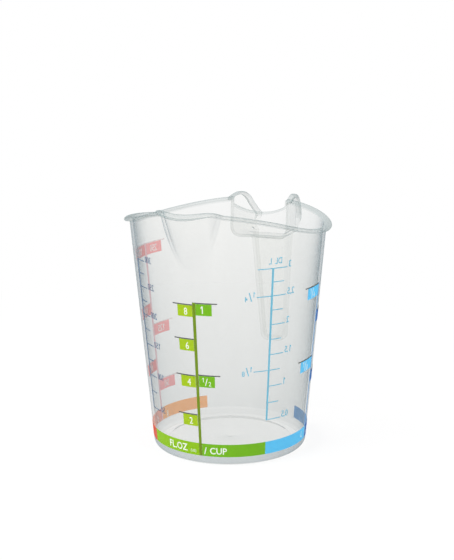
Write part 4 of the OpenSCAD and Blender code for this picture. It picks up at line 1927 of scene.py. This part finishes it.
@dataclass
class Room:
    """The camera, the lamps and the pale floor.

    Attributes:
        eye: Where the camera stands, in metres.
        turn: Its turn round the cup, in degrees.
        tilt: Its tilt up from looking straight down, in degrees.
        roll: Its roll, in degrees.
        sensor: Long side of its picture plane, in millimetres.
        lens: Focal length, in millimetres.
        sight: Nearest and farthest distance that it sees, in metres.
        aim: The place that the lamps face, in metres.
        sky: Strength of the even light from all round.
        ghost: Share of the floor's white that no shadow takes away.
        shadow_r: Distances from the cup between which the shadow fades, in metres.
        floor_half: Half the floor's side, in metres.
        clear_layers: How many clear surfaces a ray may cross.
    """

    eye: tuple[float, float, float] = (0.18258, -0.47277, 0.1842)
    turn: float = 21.2
    tilt: float = 77.28
    roll: float = -0.415
    sensor: float = 24.0
    lens: float = 53.417
    sight: tuple[float, float] = (0.01, 50.0)
    aim: tuple[float, float, float] = (0.0, 0.0, 0.05)
    sky: float = 0.62
    ghost: float = 0.86
    shadow_r: tuple[float, float] = (0.1, 0.3)
    floor_half: float = 6.0
    clear_layers: int = 32

    def camera(self) -> None:
        """Makes the camera."""
        data = bpy.data.cameras.new("view")
        data.sensor_width, data.lens = self.sensor, self.lens
        data.clip_start, data.clip_end = self.sight
        camera = bpy.data.objects.new("view", data)
        turn, tilt, roll = (math.radians(v) for v in (self.turn, self.tilt, self.roll))
        camera.matrix_world = (
            Matrix.Translation(self.eye)
            @ Matrix.Rotation(turn, 4, "Z")
            @ Matrix.Rotation(tilt, 4, "X")
            @ Matrix.Rotation(roll, 4, "Z")
        )
        bpy.context.scene.collection.objects.link(camera)
        bpy.context.scene.camera = camera

    def lamp(self, name: str, at: Sequence[float], size: float, watts: float) -> None:
        """Adds a soft square lamp that faces the cup.

        Args:
            name: Its name.
            at: Its place, in metres.
            size: Its side.
            watts: Its power.
        """
        data = bpy.data.lights.new(name, "AREA")
        data.shape, data.size, data.energy = "SQUARE", size, watts
        lamp = bpy.data.objects.new(name, data)
        lamp.location = at
        aim = Vector(self.aim) - lamp.location
        lamp.rotation_euler = aim.to_track_quat("-Z", "Y").to_euler()
        bpy.context.scene.collection.objects.link(lamp)

    def world(self) -> None:
        """Even white light, and plain white where it is looked at."""
        world = bpy.data.worlds.new("studio")
        world.use_nodes = True
        nodes = Nodes(world.node_tree)
        seen = self.seen(nodes)
        level = self.sky + (1 - self.sky) * seen
        light = nodes.node(
            "ShaderNodeBackground", {}, {"Color": (1, 1, 1, 1), "Strength": level}
        )
        nodes.node("ShaderNodeOutputWorld", {}, {"Surface": light})
        bpy.context.scene.world = world

    @staticmethod
    def seen(nodes: Nodes) -> Sock:
        """1 for what the camera sees, directly or in a gloss or through clear plastic."""
        rays = [
            nodes.node("ShaderNodeLightPath", out=ray)
            for ray in ("Is Camera Ray", "Is Glossy Ray", "Is Transmission Ray")
        ]
        return rays[0].math("MINIMUM", rays[0] + rays[1] + rays[2], 1.0)

    def floor(self) -> None:
        """A wide pale floor that keeps a faint shadow."""
        mesh = bmesh.new()
        bmesh.ops.create_grid(mesh, x_segments=2, y_segments=2, size=self.floor_half)
        data = bpy.data.meshes.new("floor")
        mesh.to_mesh(data)
        mesh.free()
        floor = bpy.data.objects.new("floor", data)
        bpy.context.scene.collection.objects.link(floor)
        material, nodes = new_material("pale_floor")
        paint = nodes.node("ShaderNodeBsdfDiffuse", {}, {"Color": (0.96, 0.96, 0.96, 1)})
        glow = nodes.node("ShaderNodeEmission", {}, {"Color": (1, 1, 1, 1), "Strength": 1.0})
        place = nodes.node("ShaderNodeTexCoord", out="Object")
        away = nodes.node(
            "ShaderNodeVectorMath", {"operation": "LENGTH"}, {0: place}, out="Value"
        )
        ghost = self.ghost + (1 - self.ghost) * nodes.ramp(away, *self.shadow_r)
        mixed = nodes.node(
            "ShaderNodeMixShader", {}, {0: self.seen(nodes) * ghost, 1: paint, 2: glow}
        )
        nodes.node("ShaderNodeOutputMaterial", {}, {"Surface": mixed})
        data.materials.append(material)

    def build(self) -> None:
        """Sets the room up."""
        scene = bpy.context.scene
        scene.view_settings.view_transform = "Standard"
        scene.cycles.transparent_max_bounces = self.clear_layers
        self.camera()
        self.world()
        self.floor()
        self.lamp("key", (-0.7, -0.9, 1.1), 0.9, 18)
        self.lamp("fill", (1.1, -0.3, 0.7), 0.8, 5)


def main() -> None:
    """Builds the cup, its printing and the room."""
    logging.basicConfig(level=logging.INFO, format="%(name)s %(message)s")
    paints = Paints()
    Room().build()
    Cup(paints).build()
    Handle(paints).build()
    Printing(paints).build()
    dress_kept(paints)


if __name__ == "__main__":
    main()
